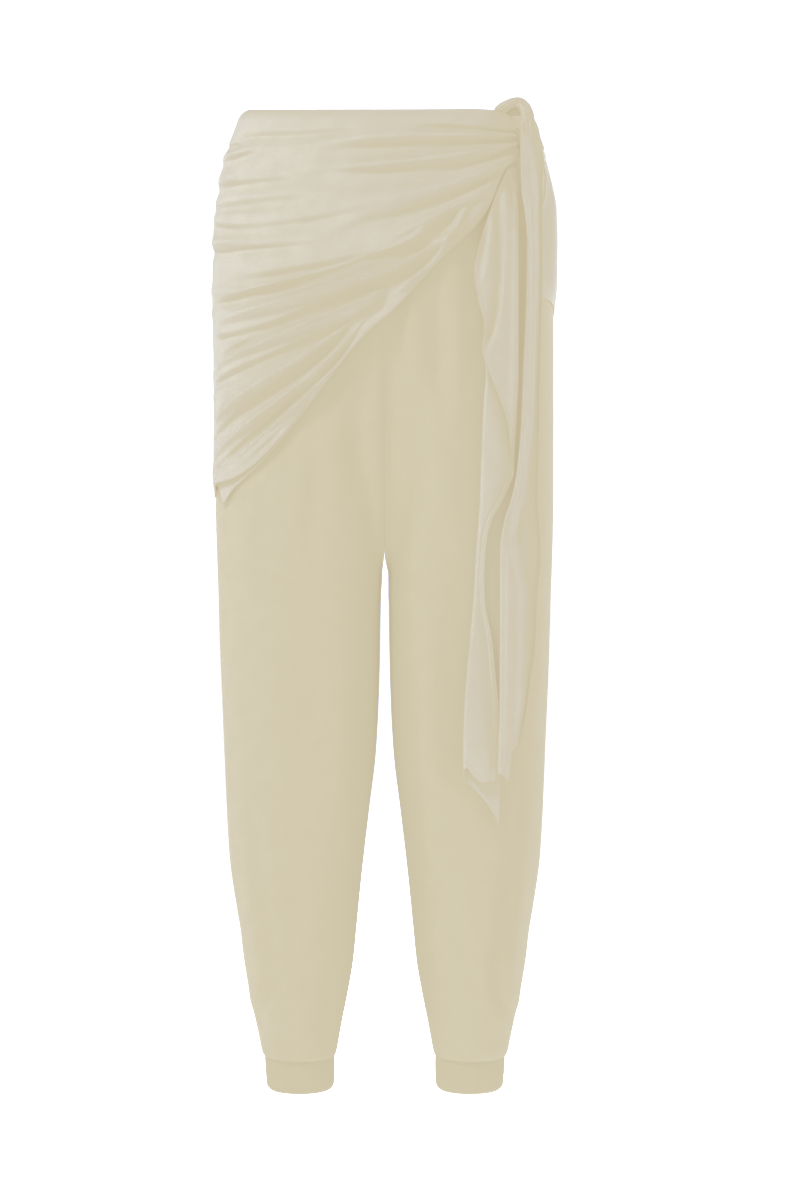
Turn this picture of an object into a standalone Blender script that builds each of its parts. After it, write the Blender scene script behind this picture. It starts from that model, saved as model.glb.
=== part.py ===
"""Harem trousers with a tied wrap, as worn and held at the waist, hollow. Metres, +Z up, front at -Y.

The tables are in millimetres. "drop" is the distance below the waist, "turn" is in degrees round
the body from the front centre, positive towards the wearer's left, which is +X.
"""
import math

import bpy
import numpy as np

MM = 0.001
SEAM_GAP = 0.3
LEG_WALL = 2.0
BAND_WALL = 3.0
WRAP_WALL = 1.6
TAIL_WALL = 1.6
CUFF_WALL = 2.6
BAND_DEPTH = 38.0
CUFF_TOP = 948.0
PARTED_DROP = 455.0
CUFF_SEAM_DROP = 951.0
WRAP_OUT = 2.2
RIM_SLOPE = 0.085
RIM_FADE = 240.0
FORM_POWER = 2.3

# Where the front view is seen from: to the side of the centre, down from the waist, and away.
VIEW_SIDE = 15.3
VIEW_DROP = 296.0
VIEW_AIM_DROP = 486.0
VIEW_AWAY = 3200.0
VIEW_MIDDLE = 489.5

# The form round both legs: drop, half width, front depth, back depth, depth of the side seam.
FORM = (
    (0, 133.0, 93, 87, 0),
    (4, 138.5, 98, 92, 0),
    (9, 142.0, 101.5, 96, 0),
    (20, 146.0, 105, 101, 0),
    (40, 153.5, 108, 108, 0),
    (60, 159.0, 111, 114, 0),
    (80, 162.5, 114, 121, 0),
    (100, 165.5, 116, 128, 0),
    (140, 167.5, 118, 137, 0),
    (200, 168.0, 118, 140, 1),
    (260, 168.0, 114, 132, 2),
    (330, 168.0, 108, 120, 3),
    (400, 168.0, 105, 113, 4),
    (440, 167.0, 102, 110, 4),
    (490, 165.5, 99, 105, 5),
    (540, 164.0, 95, 101, 5),
    (590, 162.0, 91, 98.5, 6),
    (640, 160.0, 87, 97, 7),
    (690, 158.0, 83, 96, 7),
    (745, 155.0, 77, 95, 8),
    (790, 149.0, 71, 93, 9),
    (820, 144.0, 65, 91, 9),
    (850, 140.5, 60, 88, 10),
    (880, 135.5, 53, 83, 11),
    (900, 131.5, 47, 78, 11),
    (925, 126.0, 38, 68, 12),
    (940, 123.0, 31, 59, 12),
    (951, 119.5, 25.5, 49.5, 12),
    (985, 117.0, 24, 48, 12),
)

# The gap between the legs: drop, half gap, roundness of the inner side, roundness of the outer side.
INNER = (
    (0, 0.15, 3.8, 2.3),
    (413, 0.15, 3.8, 2.3),
    (450, 0.5, 3.8, 2.3),
    (460, 2.2, 3.7, 2.3),
    (490, 4.7, 3.6, 2.3),
    (540, 5.7, 3.4, 2.3),
    (580, 6.7, 3.2, 2.3),
    (640, 9.7, 3.0, 2.3),
    (700, 16.7, 2.8, 2.3),
    (760, 23.7, 2.6, 2.2),
    (820, 29.7, 2.4, 2.2),
    (850, 32.7, 2.3, 2.2),
    (880, 37.7, 2.2, 2.1),
    (910, 43.7, 2.2, 2.1),
    (940, 49.2, 2.1, 2.1),
    (951, 51.7, 2.1, 2.1),
    (985, 52.7, 2.1, 2.1),
)


def smooth(table, column, at):
    """A column of a table as a smooth curve over the first column, with no overshoot."""
    rows = np.array(table, float)
    x, y = rows[:, 0], rows[:, column]
    steps = np.diff(x)
    slope = np.diff(y) / steps
    both = slope[:-1] * slope[1:]
    total = np.where(both > 0, slope[:-1] + slope[1:], 1.0)
    inner = np.where(both > 0, 2 * both / total, 0.0)
    ends = np.concatenate([[slope[0]], inner, [slope[-1]]])
    at = np.clip(np.asarray(at, float), x[0], x[-1])
    i = np.clip(np.searchsorted(x, at, side="right") - 1, 0, len(steps) - 1)
    t = (at - x[i]) / steps[i]
    rise = (2 * t**3 - 3 * t**2 + 1) * y[i] + (3 * t**2 - 2 * t**3) * y[i + 1]
    lean = (t**3 - 2 * t**2 + t) * ends[i] + (t**3 - t**2) * ends[i + 1]
    return rise + lean * steps[i]


def placed(x, drop, y):
    """True x and z of a point that is seen from the front at x and drop and lies at depth y."""
    lean = math.atan2(VIEW_AIM_DROP - VIEW_DROP, VIEW_AWAY)
    focus = math.hypot(VIEW_AIM_DROP - VIEW_DROP, VIEW_AWAY)
    side = np.asarray(x, float) - VIEW_SIDE
    up = VIEW_MIDDLE - np.asarray(drop, float)
    ray_y = focus * math.cos(lean) + up * math.sin(lean)
    ray_z = up * math.cos(lean) - focus * math.sin(lean)
    reach = (np.asarray(y, float) + VIEW_AWAY) / ray_y
    return VIEW_SIDE + reach * side, reach * ray_z - VIEW_DROP


def as_true(table, widths):
    """A table of what the front view shows, with its drops and widths made true ones."""
    made = []
    for row in table:
        row = list(row)
        seen = row[0]
        row[0] = float(-placed(0.0, seen, 0.0)[1])
        for column in widths:
            right = placed(row[column], seen, 0.0)[0]
            left = placed(-row[column], seen, 0.0)[0]
            row[column] = float(right - left) / 2
        made.append(tuple(row))
    return tuple(made)


BODY = as_true(FORM, (1,))
GAP = as_true(INNER, ())
CUFF_SEAM = float(-placed(0.0, CUFF_SEAM_DROP, 0.0)[1])


def height(drop, y):
    """z of a point: the waist rim rises to the back, and the slope fades out down the hips."""
    fade = np.clip(1 - np.asarray(drop, float) / RIM_FADE, 0, 1) ** 2
    fade = np.where(np.asarray(drop) < 0, 1.0, fade)
    return -drop + RIM_SLOPE * fade * y


def rounded(value, power):
    return np.sign(value) * np.abs(value) ** (2 / power)


def torso(turn, drop, out=0.0):
    """Points on the form round both legs, moved out by a distance."""
    turn, drop, out = np.broadcast_arrays(
        np.asarray(turn, float), np.asarray(drop, float), np.asarray(out, float)
    )
    s, c = np.sin(np.radians(turn)), np.cos(np.radians(turn))
    half = smooth(BODY, 1, drop)
    deep = np.where(c > 0, smooth(BODY, 2, drop), smooth(BODY, 3, drop))
    x, y = half * rounded(s, FORM_POWER), -deep * rounded(c, FORM_POWER)
    nx = np.sign(s) * np.abs(s) ** (2 - 2 / FORM_POWER) / half
    ny = -np.sign(c) * np.abs(c) ** (2 - 2 / FORM_POWER) / deep
    size = np.hypot(nx, ny)
    x, y = x + out * nx / size, y + out * ny / size
    return np.stack([x, y, height(drop, y)], -1)


def shared(x, y, shares, inner=0.0, weight=1.0):
    """A line's points at these shares of its length. Depth counts less where x is under inner."""
    count = np.where(x[1:] < inner, weight, 1.0)
    along = np.concatenate([[0], np.cumsum(np.hypot(np.diff(x), count * np.diff(y)))])
    along /= along[-1]
    return np.interp(shares, along, x), np.interp(shares, along, y)


# How deep the valley between the legs is under the round form: drop, depth. The crotch is at its end.
CLEFT = (
    (165, 0.1), (200, 1.5), (250, 4), (300, 7), (350, 10), (400, 15), (425, 21),
    (440, 30), (450, 46), (460, 78), (475, 150), (1000, 150),
)


def parting(drop):
    """0 where both legs are one round form, 1 from the crotch down."""
    share = np.clip((drop - 165) / (PARTED_DROP - 165), 0, 1)
    return share * share * (3 - 2 * share)


def leg_section(drop, shares, back):
    """The left half of a level, from the centre or the inseam round to the side seam."""
    half, side = float(smooth(BODY, 1, drop)), float(smooth(BODY, 4, drop))
    deep = float(smooth(BODY, 3 if back else 2, drop))
    facing = 1 if back else -1
    wanted, shares = shares, np.linspace(0, 1, 160)
    a = np.linspace(0, math.pi / 2, 91)
    tx, ty = half * rounded(np.sin(a), FORM_POWER), facing * deep * rounded(np.cos(a), FORM_POWER)
    tx, ty = shared(tx, ty, shares)
    gap = float(smooth(GAP, 1, drop))
    inner, outer = float(smooth(GAP, 2, drop)), float(smooth(GAP, 3, drop))
    middle, wide = (half + gap) / 2, (half - gap) / 2
    a = np.linspace(math.pi, 0, 181)
    power = np.where(a > math.pi / 2, inner, outer)
    lx = middle + wide * np.sign(np.cos(a)) * np.abs(np.cos(a)) ** (2 / power)
    ly = side + (facing * deep - side) * np.abs(np.sin(a)) ** (2 / power)
    lx, ly = shared(lx, ly, shares)
    m = float(parting(drop))
    x, y = tx + (lx - tx) * m, ty + (ly - ty) * m
    cleft = float(smooth(CLEFT, 1, drop))
    blend = min(8.0, 0.8 * cleft)
    least = deep * np.maximum(1 - np.clip(x / half, 0, 1) ** FORM_POWER, 0) ** (1 / FORM_POWER)
    least = np.where(x < 0.6 * half, least - cleft - blend, -1e3)
    depth = facing * y
    lift = np.maximum(blend - np.abs(depth - least), 0) ** 2 / (4 * blend)
    y = facing * (np.maximum(depth, least) + lift)
    weight = np.clip((drop - 465) / 150, 0, 1)
    weight = 0.35 + 0.65 * weight * weight * (3 - 2 * weight)
    return shared(np.maximum(x, SEAM_GAP / 2), y, wanted, 0.3 * half, weight)


# How far the legs stand out of the round form, as a cloth stretched over them lies.
COVER_DROPS = np.arange(0, 1001, 12.5)
COVER_TURNS = np.arange(0, 181, 3.0)


def cover_table():
    shares = np.linspace(0, 1, 90)
    rows = []
    for drop in COVER_DROPS:
        front, rear = leg_section(drop, shares, False), leg_section(drop, shares, True)
        x = np.concatenate([front[0], rear[0], -front[0], -rear[0]])
        y = np.concatenate([front[1], rear[1], front[1], rear[1]])
        at, moved = torso(COVER_TURNS, drop), torso(COVER_TURNS, drop, 1.0)
        nx, ny = (moved - at)[:, 0], (moved - at)[:, 1]
        reach = nx[:, None] * x[None] + ny[:, None] * y[None]
        rows.append(np.maximum(reach.max(1) - nx * at[:, 0] - ny * at[:, 1], 0))
    return np.array(rows)


COVER = cover_table()


def between(table, rows, columns, r, c):
    """A table read between its rows and columns."""
    r = np.clip((np.asarray(r, float) - rows[0]) / (rows[1] - rows[0]), 0, len(rows) - 1.001)
    c = np.clip((np.asarray(c, float) - columns[0]) / (columns[1] - columns[0]), 0, len(columns) - 1.001)
    i, j = r.astype(int), c.astype(int)
    r, c = r - i, c - j
    near = table[i, j] * (1 - c) + table[i, j + 1] * c
    far = table[i + 1, j] * (1 - c) + table[i + 1, j + 1] * c
    return near * (1 - r) + far * r


def cover(turn, drop):
    turn = np.abs((np.asarray(turn, float) + 180) % 360 - 180)
    return between(COVER, COVER_DROPS, COVER_TURNS, np.maximum(drop, 0) + 0 * turn, turn)


# The depth of the front of the left leg at each drop and distance from the centre.
FRONT_ACROSS = np.arange(0, 171, 3.0)


def front_table():
    shares = np.linspace(0, 1, 120)
    rows = []
    for drop in COVER_DROPS:
        x, y = leg_section(drop, shares, False)
        reach = 0.93 * float(smooth(BODY, 1, drop))
        rows.append(np.interp(np.minimum(FRONT_ACROSS, reach), x, y))
    return np.array(rows)


FRONT = front_table()


def front_depth(x, drop):
    return between(FRONT, COVER_DROPS, FRONT_ACROSS, drop, np.abs(x))


# Where the wrap's cloth gathers at the knot: turn and drop, of its front end and its back end.
KNOT_FRONT = (50.0, 34.0)
KNOT_BACK = (-275.0, 40.0)
TURN_STEP = 2.8

# The wrap's folds, from the knot outwards. Each row: turn and drop where it starts, at its middle and
# where it ends, its width above and below the line, and its height, which is negative for a trough.
# The turn runs on past the wearer's right side at -90 to the back at -180.
WRAP_FOLDS = (
    (54, 28, 30, 22, -20, 26, 5, 5, -1.6),
    (53, 35, 14, 49, -30, 60, 8, 9, 2.2),
    (46, 39, 10, 71, -40, 72, 9, 10, -3.2),
    (42, 47, 12, 84, -20, 104, 9, 9, 2.6),
    (43, 61, 12, 101, -34, 152, 11, 10, -2.6),
    (34, 82, 2, 140, -50, 182, 9, 9, 2.4),
    (24, 108, -12, 167, -100, 196, 9, 12, -3.4),
    (24, 107, -10, 178, -86, 222, 9, 10, 2.8),
    (20, 120, -12, 190, -110, 262, 12, 14, -3.4),
    (18, 130, -15, 209, -96, 276, 9, 9, 2.6),
    (4, 172, -26, 237, -100, 288, 9, 12, -2.8),
    (3, 180, -25, 250, -84, 338, 10, 9, 2.8),
    (1, 190, -25, 262, -88, 352, 9, 11, -2.4),
    (-2, 200, -26, 277, -80, 372, 8, 9, 2.4),
    (-272, 30, -230, 26, -170, 34, 7, 7, -1.8),
    (-270, 34, -220, 52, -150, 58, 9, 10, 2.6),
    (-266, 42, -214, 78, -140, 84, 10, 11, -3.0),
    (-262, 52, -208, 104, -130, 128, 10, 11, 2.8),
    (-258, 62, -204, 130, -110, 176, 11, 12, -2.8),
    (-252, 76, -196, 160, -100, 226, 10, 12, 2.8),
    (-246, 92, -190, 190, -104, 252, 12, 13, -3.2),
    (-238, 112, -182, 222, -96, 308, 10, 12, 2.8),
    (-230, 134, -176, 250, -98, 326, 11, 12, -2.8),
    (-220, 160, -168, 282, -100, 360, 9, 10, 2.4),
)

# The wrap's lower hem: turn and drop.
WRAP_HEM = (
    (-290, 188), (-275, 197), (-262, 208), (-245, 226), (-225, 250), (-200, 281), (-175, 312),
    (-150, 342), (-125, 370), (-105, 383), (-90, 384), (-75, 377), (-62, 368), (-54, 365),
    (-42, 350), (-25, 302), (-3, 220), (15, 154), (34, 107), (43, 62), (51, 51), (57, 47),
)

# The wrap's upper edge: turn and drop.
WRAP_TOP = (
    (-290, 24), (-275, 23), (-262, 5), (-240, 0), (-200, 0), (-90, 0), (-40, 0.5),
    (30, 0.5), (42, 1.5), (51, 4.5), (57, 8),
)

# The back stretch's front edge: drop and turn. It goes further to the front below the knot's strand.
BACK_EDGE = ((0, -275), (66, -275), (92, -286), (130, -288), (200, -288))


def bezier(row, count):
    """Points along a fold's line, which passes through its middle point."""
    a, b, c = np.array(row[0:2]), np.array(row[2:4]), np.array(row[4:6])
    b = 2 * b - (a + c) / 2
    t = np.linspace(0, 1, count)[:, None]
    return (1 - t) ** 2 * a + 2 * t * (1 - t) * b + t**2 * c


def fold_height(row, turn, drop, knot):
    """How far one fold lifts or sinks the cloth."""
    line = bezier(row, 17)
    line[:, 0] *= TURN_STEP
    x, y = turn * TURN_STEP, drop
    nearest = np.full(x.shape, 1e9)
    across, along = np.zeros(x.shape), np.zeros(x.shape)
    for i in range(16):
        start, run = line[i], line[i + 1] - line[i]
        long = math.hypot(run[0], run[1])
        low = -1e3 if i == 0 else 0.0
        high = 1e3 if i == 15 else 1.0
        t = np.clip(((x - start[0]) * run[0] + (y - start[1]) * run[1]) / long**2, low, high)
        dx, dy = x - start[0] - t * run[0], y - start[1] - t * run[1]
        away = np.hypot(dx, dy)
        closer = away < nearest
        nearest = np.where(closer, away, nearest)
        across = np.where(closer, np.sign(dy) * away, across)
        along = np.where(closer, (i + t) / 16, along)
    spread = np.hypot((turn - knot[0]) * TURN_STEP, drop - knot[1]) / 170
    spread = np.clip(0.22 + spread, 0.22, 1.0)
    width = np.where(across < 0, row[6], row[7]) * spread
    fade = np.clip((along + 0.10) / 0.16, 0, 1) * np.clip((1.10 - along) / 0.30, 0, 1)
    return row[8] * spread**0.6 * np.exp(-((across / width) ** 2)) * fade * fade * (3 - 2 * fade)


def wrap_relief(turn, drop):
    """The height of all folds over the wrap's even surface."""
    total = np.zeros(np.broadcast(turn, drop).shape)
    for row in WRAP_FOLDS:
        knot = KNOT_FRONT if row[0] > -100 else KNOT_BACK
        total = total + fold_height(row, turn, drop, knot)
    return np.where(total < 0, total * 0.5, total) + 1.4


# How the wrap lifts off the body towards the knot: distance from the knot, lift.
FRONT_LIFT = ((0, 16.0), (18, 16.0), (40, 14.5), (80, 6.5), (140, 1.6), (220, 0.0))
BACK_LIFT = ((0, 3.0), (30, 4.5), (80, 3.0), (160, 0.0), (220, 0.0))


def under_ledge(turn, drop):
    """How far the wrap is held off by its lower layer, which shows under its front hem."""
    edge = smooth(WRAP_HEM, 1, turn)
    near = np.clip((drop - edge + 26) / 9, 0, 1)
    return 1.9 * near * np.clip((turn + 76) / 8, 0, 1) * np.clip((-12 - turn) / 8, 0, 1)


def wrap_point(turn, drop, depth=0.0):
    """Points of the wrap's outer side, or of its inner side when depth is the wall."""
    clear = 1.6 * np.clip(np.abs(np.cos(np.radians(turn))) * 2.5, 0, 1)
    out = np.maximum(wrap_relief(turn, drop), 0) + WRAP_OUT + clear + under_ledge(turn, drop)
    point = torso(turn, drop, cover(turn, drop) + out - depth)
    far = np.hypot((turn - KNOT_FRONT[0]) * TURN_STEP, drop - KNOT_FRONT[1])
    point[..., 1] -= smooth(FRONT_LIFT, 1, far)
    far = np.hypot((turn - KNOT_BACK[0]) * TURN_STEP, drop - KNOT_BACK[1])
    back = smooth(BACK_LIFT, 1, far)
    point[..., 1] -= back * 0.8
    point[..., 0] += back * 0.6
    return point


def wrap_grid(first, last, rows, columns, depth):
    """The wrap between two turns, its rows fanning out between the upper edge and the hem."""
    turns = np.linspace(first, last, columns)[None]
    share = np.linspace(0, 1, rows)[:, None] ** 1.2
    drop = smooth(WRAP_TOP, 1, turns) * (1 - share) + smooth(WRAP_HEM, 1, turns) * share
    if first == KNOT_BACK[0]:
        pulled = np.clip((turns + 235) / (first + 235), 0, 1) ** 2
        turns = turns + (smooth(BACK_EDGE, 1, drop) - first) * pulled
        drop = smooth(WRAP_TOP, 1, turns) * (1 - share) + smooth(WRAP_HEM, 1, turns) * share
    return wrap_point(np.broadcast_to(turns, drop.shape), drop, depth)


def normals(grid, cyclic=False):
    """The unit normals of a grid of points."""
    if cyclic:
        padded = np.concatenate([grid[:, -1:], grid, grid[:, :1]], 1)
        across = np.gradient(padded, axis=1)[:, 1:-1]
    else:
        across = np.gradient(grid, axis=1)
    down = np.gradient(grid, axis=0)
    n = np.cross(across, down)
    return n / np.maximum(np.linalg.norm(n, axis=-1, keepdims=True), 1e-9)


def material(name, colour, roughness):
    made = bpy.data.materials.new(name)
    made.use_nodes = True
    shader = made.node_tree.nodes["Principled BSDF"]
    shader.inputs["Base Color"].default_value = (*colour, 1)
    shader.inputs["Roughness"].default_value = roughness
    shader.inputs["Metallic"].default_value = 0.0
    made.diffuse_color = (*colour, 1)
    return made


def add_mesh(name, points, faces, made):
    """A mesh object from points in millimetres, its faces turned outwards."""
    points = np.asarray(points, float) * MM
    a = points[[f[0] for f in faces]]
    b = points[[f[1] for f in faces]]
    c = points[[f[2] for f in faces]]
    d = points[[f[-1] for f in faces]]
    volume = (a * np.cross(b, c)).sum() + (a * np.cross(c, d)).sum()
    if volume < 0:
        faces = [tuple(reversed(f)) for f in faces]
    mesh = bpy.data.meshes.new(name)
    mesh.from_pydata([tuple(p) for p in points], [], faces)
    mesh.update()
    mesh.polygons.foreach_set("use_smooth", [True] * len(mesh.polygons))
    mesh.materials.append(made)
    item = bpy.data.objects.new(name, mesh)
    bpy.context.scene.collection.objects.link(item)
    return item


def walled(name, outer, inner, made, cyclic=False, rolled=False):
    """A wall between two grids of points, closed along its edges. rolled turns its faces' diagonals."""
    rows, columns = outer.shape[:2]
    count = rows * columns
    points = np.concatenate([outer.reshape(-1, 3), inner.reshape(-1, 3)])

    def at(i, j, side):
        return side * count + i * columns + j % columns

    faces = []
    for i in range(rows - 1):
        for j in range(columns if cyclic else columns - 1):
            faces.append((at(i, j, 0), at(i, j + 1, 0), at(i + 1, j + 1, 0), at(i + 1, j, 0)))
            faces.append((at(i, j, 1), at(i + 1, j, 1), at(i + 1, j + 1, 1), at(i, j + 1, 1)))
    for j in range(columns if cyclic else columns - 1):
        faces.append((at(0, j, 1), at(0, j + 1, 1), at(0, j + 1, 0), at(0, j, 0)))
        end = rows - 1
        faces.append((at(end, j, 0), at(end, j + 1, 0), at(end, j + 1, 1), at(end, j, 1)))
    if not cyclic:
        for i in range(rows - 1):
            faces.append((at(i, 0, 0), at(i + 1, 0, 0), at(i + 1, 0, 1), at(i, 0, 1)))
            end = columns - 1
            faces.append((at(i, end, 1), at(i + 1, end, 1), at(i + 1, end, 0), at(i, end, 0)))
    if rolled:
        faces = [f[1:] + f[:1] for f in faces]
    return add_mesh(name, points, faces, made)


# The soft folds of the legs on the front: x and drop at the top, x and drop at the end, width, height.
LEG_FOLDS = (
    (20, 165, 52, 345, 15, 2.0),
    (62, 130, 56, 290, 10, -1.4),
    (88, 120, 90, 230, 11, 1.6),
    (36, 470, 44, 900, 16, 1.8),
    (92, 420, 100, 640, 20, -1.4),
    (134, 380, 132, 560, 12, 1.2),
)

# The balloon of the lower leg over its ankle: x and drop down its outer crease, width, depth.
LEG_CREASE = ((133, 680), (120, 770), (113, 830), (110, 862), (118, 888), (127, 905))


def leg_relief(x, drop):
    """The height of the soft folds of a leg."""
    total = np.zeros(np.broadcast(x, drop).shape)
    for x0, d0, x1, d1, width, high in LEG_FOLDS:
        share = (drop - d0) / (d1 - d0)
        line = x0 + (x1 - x0) * np.clip(share, 0, 1)
        fade = np.clip((share + 0.15) / 0.3, 0, 1) * np.clip((1.15 - share) / 0.3, 0, 1)
        total = total + high * np.exp(-(((x - line) / width) ** 2)) * fade * fade * (3 - 2 * fade)
    line = np.interp(drop, [p[1] for p in LEG_CREASE], [p[0] for p in LEG_CREASE])
    fade = np.clip((drop - 670) / 120, 0, 1) * np.clip((925 - drop) / 40, 0, 1)
    return total - 3.0 * fade * np.exp(-(((x - line) / 9) ** 2))


LEG_DROPS = (
    38.3, 65, 100, 145, 190, 235, 280, 320, 355, 385, 410, 430, 443, 452, 461, 480, 515, 565, 620, 680, 735, 780,
    816, 846, 870, 890, 910, 928, 948,
)


def leg_grids(drops, columns, back, right):
    """The outer and inner grids of a quarter of the trousers."""
    shares = np.linspace(0, 1, columns)
    grid = []
    for drop in drops:
        x, y = leg_section(drop, shares, back)
        grid.append(np.stack([x, y, height(drop, y)], -1))
    outer = np.array(grid)
    out = normals(outer)
    if out[len(drops) // 2, columns // 2, 1] * (1 if back else -1) < 0:
        out = -out
    levels = np.broadcast_to(np.array(drops, float)[:, None], outer.shape[:2])
    edge = np.minimum(np.minimum(shares, 1 - shares) * 9, 1)
    outer = outer + out * (leg_relief(outer[..., 0], levels) * edge[None])[..., None]
    outer[:, 0] = grid_column(grid, 0)
    outer[:, -1] = grid_column(grid, -1)
    inner = outer - out * LEG_WALL
    inner[-1, :, 2] = outer[-1, :, 2]
    inner[0, :, 2] = outer[0, :, 2]
    side = smooth(BODY, 4, np.array(drops, float))[:, None]
    for part in (outer, inner):
        part[..., 0] = np.maximum(part[..., 0], SEAM_GAP / 2)
        if back:
            part[..., 1] = np.maximum(part[..., 1], side + SEAM_GAP / 2)
        else:
            part[..., 1] = np.minimum(part[..., 1], side - SEAM_GAP / 2)
        if right:
            part[..., 0] *= -1
    return outer, inner


def grid_column(grid, index):
    return np.array([row[index] for row in grid])


def body_ring(drop, out, columns):
    return torso(np.linspace(-180, 180, columns, endpoint=False), drop, out)


def waistband(columns, out=0.0):
    drops = (3.0, 6.0, 21.0, BAND_DEPTH)
    outer = np.array([body_ring(d, out - (0.8 if d == 3.0 else 0.0), columns) for d in drops])
    inner = np.array([body_ring(d, out - BAND_WALL + (0.8 if d == 3.0 else 0.0), columns) for d in drops])
    return outer, inner


# The ankle cuff: distance below its seam, how far it stands out.
CUFF_ROWS = ((0.3, -0.4), (4.0, 0.4), (16.0, 0.8), (29.0, 0.4), (33.3, -0.8))


def cuff_grids(columns, right):
    """The outer and inner grids of a cuff."""
    a = np.linspace(0, 2 * math.pi, columns, endpoint=False)
    seam = CUFF_TOP
    outer, inner = [], []
    for low, out in CUFF_ROWS:
        half = float(smooth(BODY, 1, seam + low))
        gap = float(smooth(GAP, 1, seam + low))
        wide, middle = (half - gap) / 2, (half + gap) / 2
        for made, away in ((outer, out), (inner, min(out, 0.2) * 0.2 - CUFF_WALL)):
            x = middle + (wide + away) * rounded(np.cos(a), 2.1)
            y = 12 + (36.5 + away) * rounded(np.sin(a), 2.1)
            z = np.full(len(a), -seam - low)
            made.append(np.stack([-x if right else x, y, z], -1))
    return np.array(outer), np.array(inner)


# A hanging end of the wrap is a strip folded on itself. Each row gives, as seen from the front, the drop
# and the x of its lines, then how far its back layer stands off the leg and the radius of its folds.
# front end: drop, free hem, right turn, left fold, far edge, standing off, radius
FRONT_TAIL = (
    (50, 125.5, 132.5, 120.5, 131.5, 2.4, 1.5),
    (62, 121.3, 132.8, 117.5, 132.0, 2.2, 1.5),
    (80, 113.0, 133.2, 111.5, 132.5, 2.0, 1.6),
    (95, 107.3, 133.3, 108.0, 133.0, 2.4, 2.0),
    (140, 93.3, 133.3, 103.0, 134.0, 3.5, 3.1),
    (162, 89.3, 133.3, 102.0, 134.0, 5.0, 3.3),
    (190, 93.3, 133.3, 101.0, 134.0, 5.5, 3.4),
    (215, 99.3, 133.3, 100.8, 134.0, 6.0, 3.4),
    (238, 97.3, 133.3, 101.5, 134.0, 6.5, 3.4),
    (265, 105.3, 133.3, 101.3, 134.0, 7.0, 3.4),
    (290, 115.3, 132.3, 99.3, 133.0, 7.5, 3.4),
    (315, 123.3, 131.0, 97.9, 133.0, 8.0, 3.4),
    (345, 127.3, 129.3, 96.8, 132.0, 8.0, 3.4),
    (390, 118.3, 128.0, 95.3, 130.0, 8.0, 3.4),
    (410, 107.3, 127.0, 94.0, 129.0, 8.0, 3.4),
    (430, 102.3, 126.0, 92.3, 128.0, 8.0, 3.4),
    (460, 99.8, 125.0, 90.4, 126.0, 8.0, 3.4),
    (490, 100.3, 124.0, 88.8, 124.0, 8.0, 3.4),
    (530, 107.3, 123.0, 85.3, 122.0, 8.0, 3.4),
    (570, 111.3, 122.0, 81.8, 121.0, 8.0, 3.4),
    (600, 114.0, 122.0, 79.6, 120.0, 8.0, 3.4),
    (650, 113.5, 122.0, 78.3, 118.0, 8.0, 3.4),
    (673, 110.0, 122.0, 80.3, 116.0, 8.0, 3.4),
    (720, 108.0, 121.0, 90.0, 114.0, 8.0, 3.4),
)
FRONT_TAIL_OPENS = 360.0

# side end: drop, free edge, right edge, left fold, standing off, radius, degrees of curl
SIDE_TAIL = (
    (6, 146.5, 151.8, 137.2, 38.6, 2.2, 50),
    (20, 146.5, 154.2, 136.4, 34.2, 2.2, 60),
    (35, 146.5, 156.3, 136.0, 29.4, 2.2, 70),
    (50, 146.5, 157.2, 136.2, 24.2, 2.3, 80),
    (80, 147.5, 157.4, 137.3, 16.6, 2.5, 90),
    (105, 149.5, 157.6, 140.8, 14.0, 2.7, 90),
    (135, 151.5, 157.6, 142.8, 12.0, 2.8, 90),
    (190, 151.5, 157.2, 141.8, 12.0, 2.8, 90),
    (260, 150.5, 155.6, 138.8, 14.0, 2.8, 90),
    (310, 149.0, 154.6, 137.0, 16.0, 2.8, 90),
    (350, 142.5, 154.0, 133.8, 18.0, 2.8, 95),
    (370, 138.5, 153.6, 131.2, 18.5, 2.8, 100),
    (390, 136.0, 153.4, 126.6, 19.0, 2.8, 105),
    (412, 134.8, 155.0, 119.6, 19.0, 2.8, 110),
    (440, 134.3, 156.5, 115.6, 19.0, 2.8, 110),
    (490, 134.3, 152.8, 115.4, 19.0, 2.8, 110),
    (540, 134.3, 150.4, 115.4, 19.0, 2.8, 110),
    (570, 133.0, 146.0, 115.3, 19.0, 2.8, 110),
    (590, 132.3, 143.6, 115.3, 19.0, 2.8, 110),
    (630, 128.5, 136.5, 114.2, 19.0, 2.8, 90),
    (675, 123.5, 130.0, 113.2, 19.0, 2.8, 60),
)
CURL_RADIUS = 3.2


def tail_rest(x, drop):
    """The depth that a hanging end lies at: down the hip, then nearly straight down."""
    x, z = placed(x, drop, -90.0)
    drop = -z
    level = np.minimum(drop, 300.0)
    near = front_depth(np.minimum(x, 134.0), level)
    far = front_depth(x, level)
    low = front_depth(np.minimum(x, 134.0), drop)
    edge = front_depth(np.minimum(x, 134.0), level)
    return np.minimum(near + 0.55 * (far - near) + 0.35 * (low - edge), front_depth(x, drop) - 0.5)


def folded(place, right, left, radius, off):
    """Where a strip folded at a left line and a right line lies, at a distance past its left fold."""
    middle = right - left - 2 * radius
    back = np.clip(-place / radius, 0, math.pi)
    past = np.maximum(-place - math.pi * radius, 0)
    ahead = np.clip(place, 0, np.maximum(middle, 0))
    front = np.clip((place - middle) / radius, 0, math.pi)
    beyond = np.maximum(place - middle - math.pi * radius, 0)
    x = left + radius - radius * np.sin(back) + past + ahead + radius * np.sin(front) - beyond
    out = off + radius + radius * np.cos(back) + radius * (1 - np.cos(front))
    lean = np.where(place < 0, -back, front)
    return x, out, lean


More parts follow.
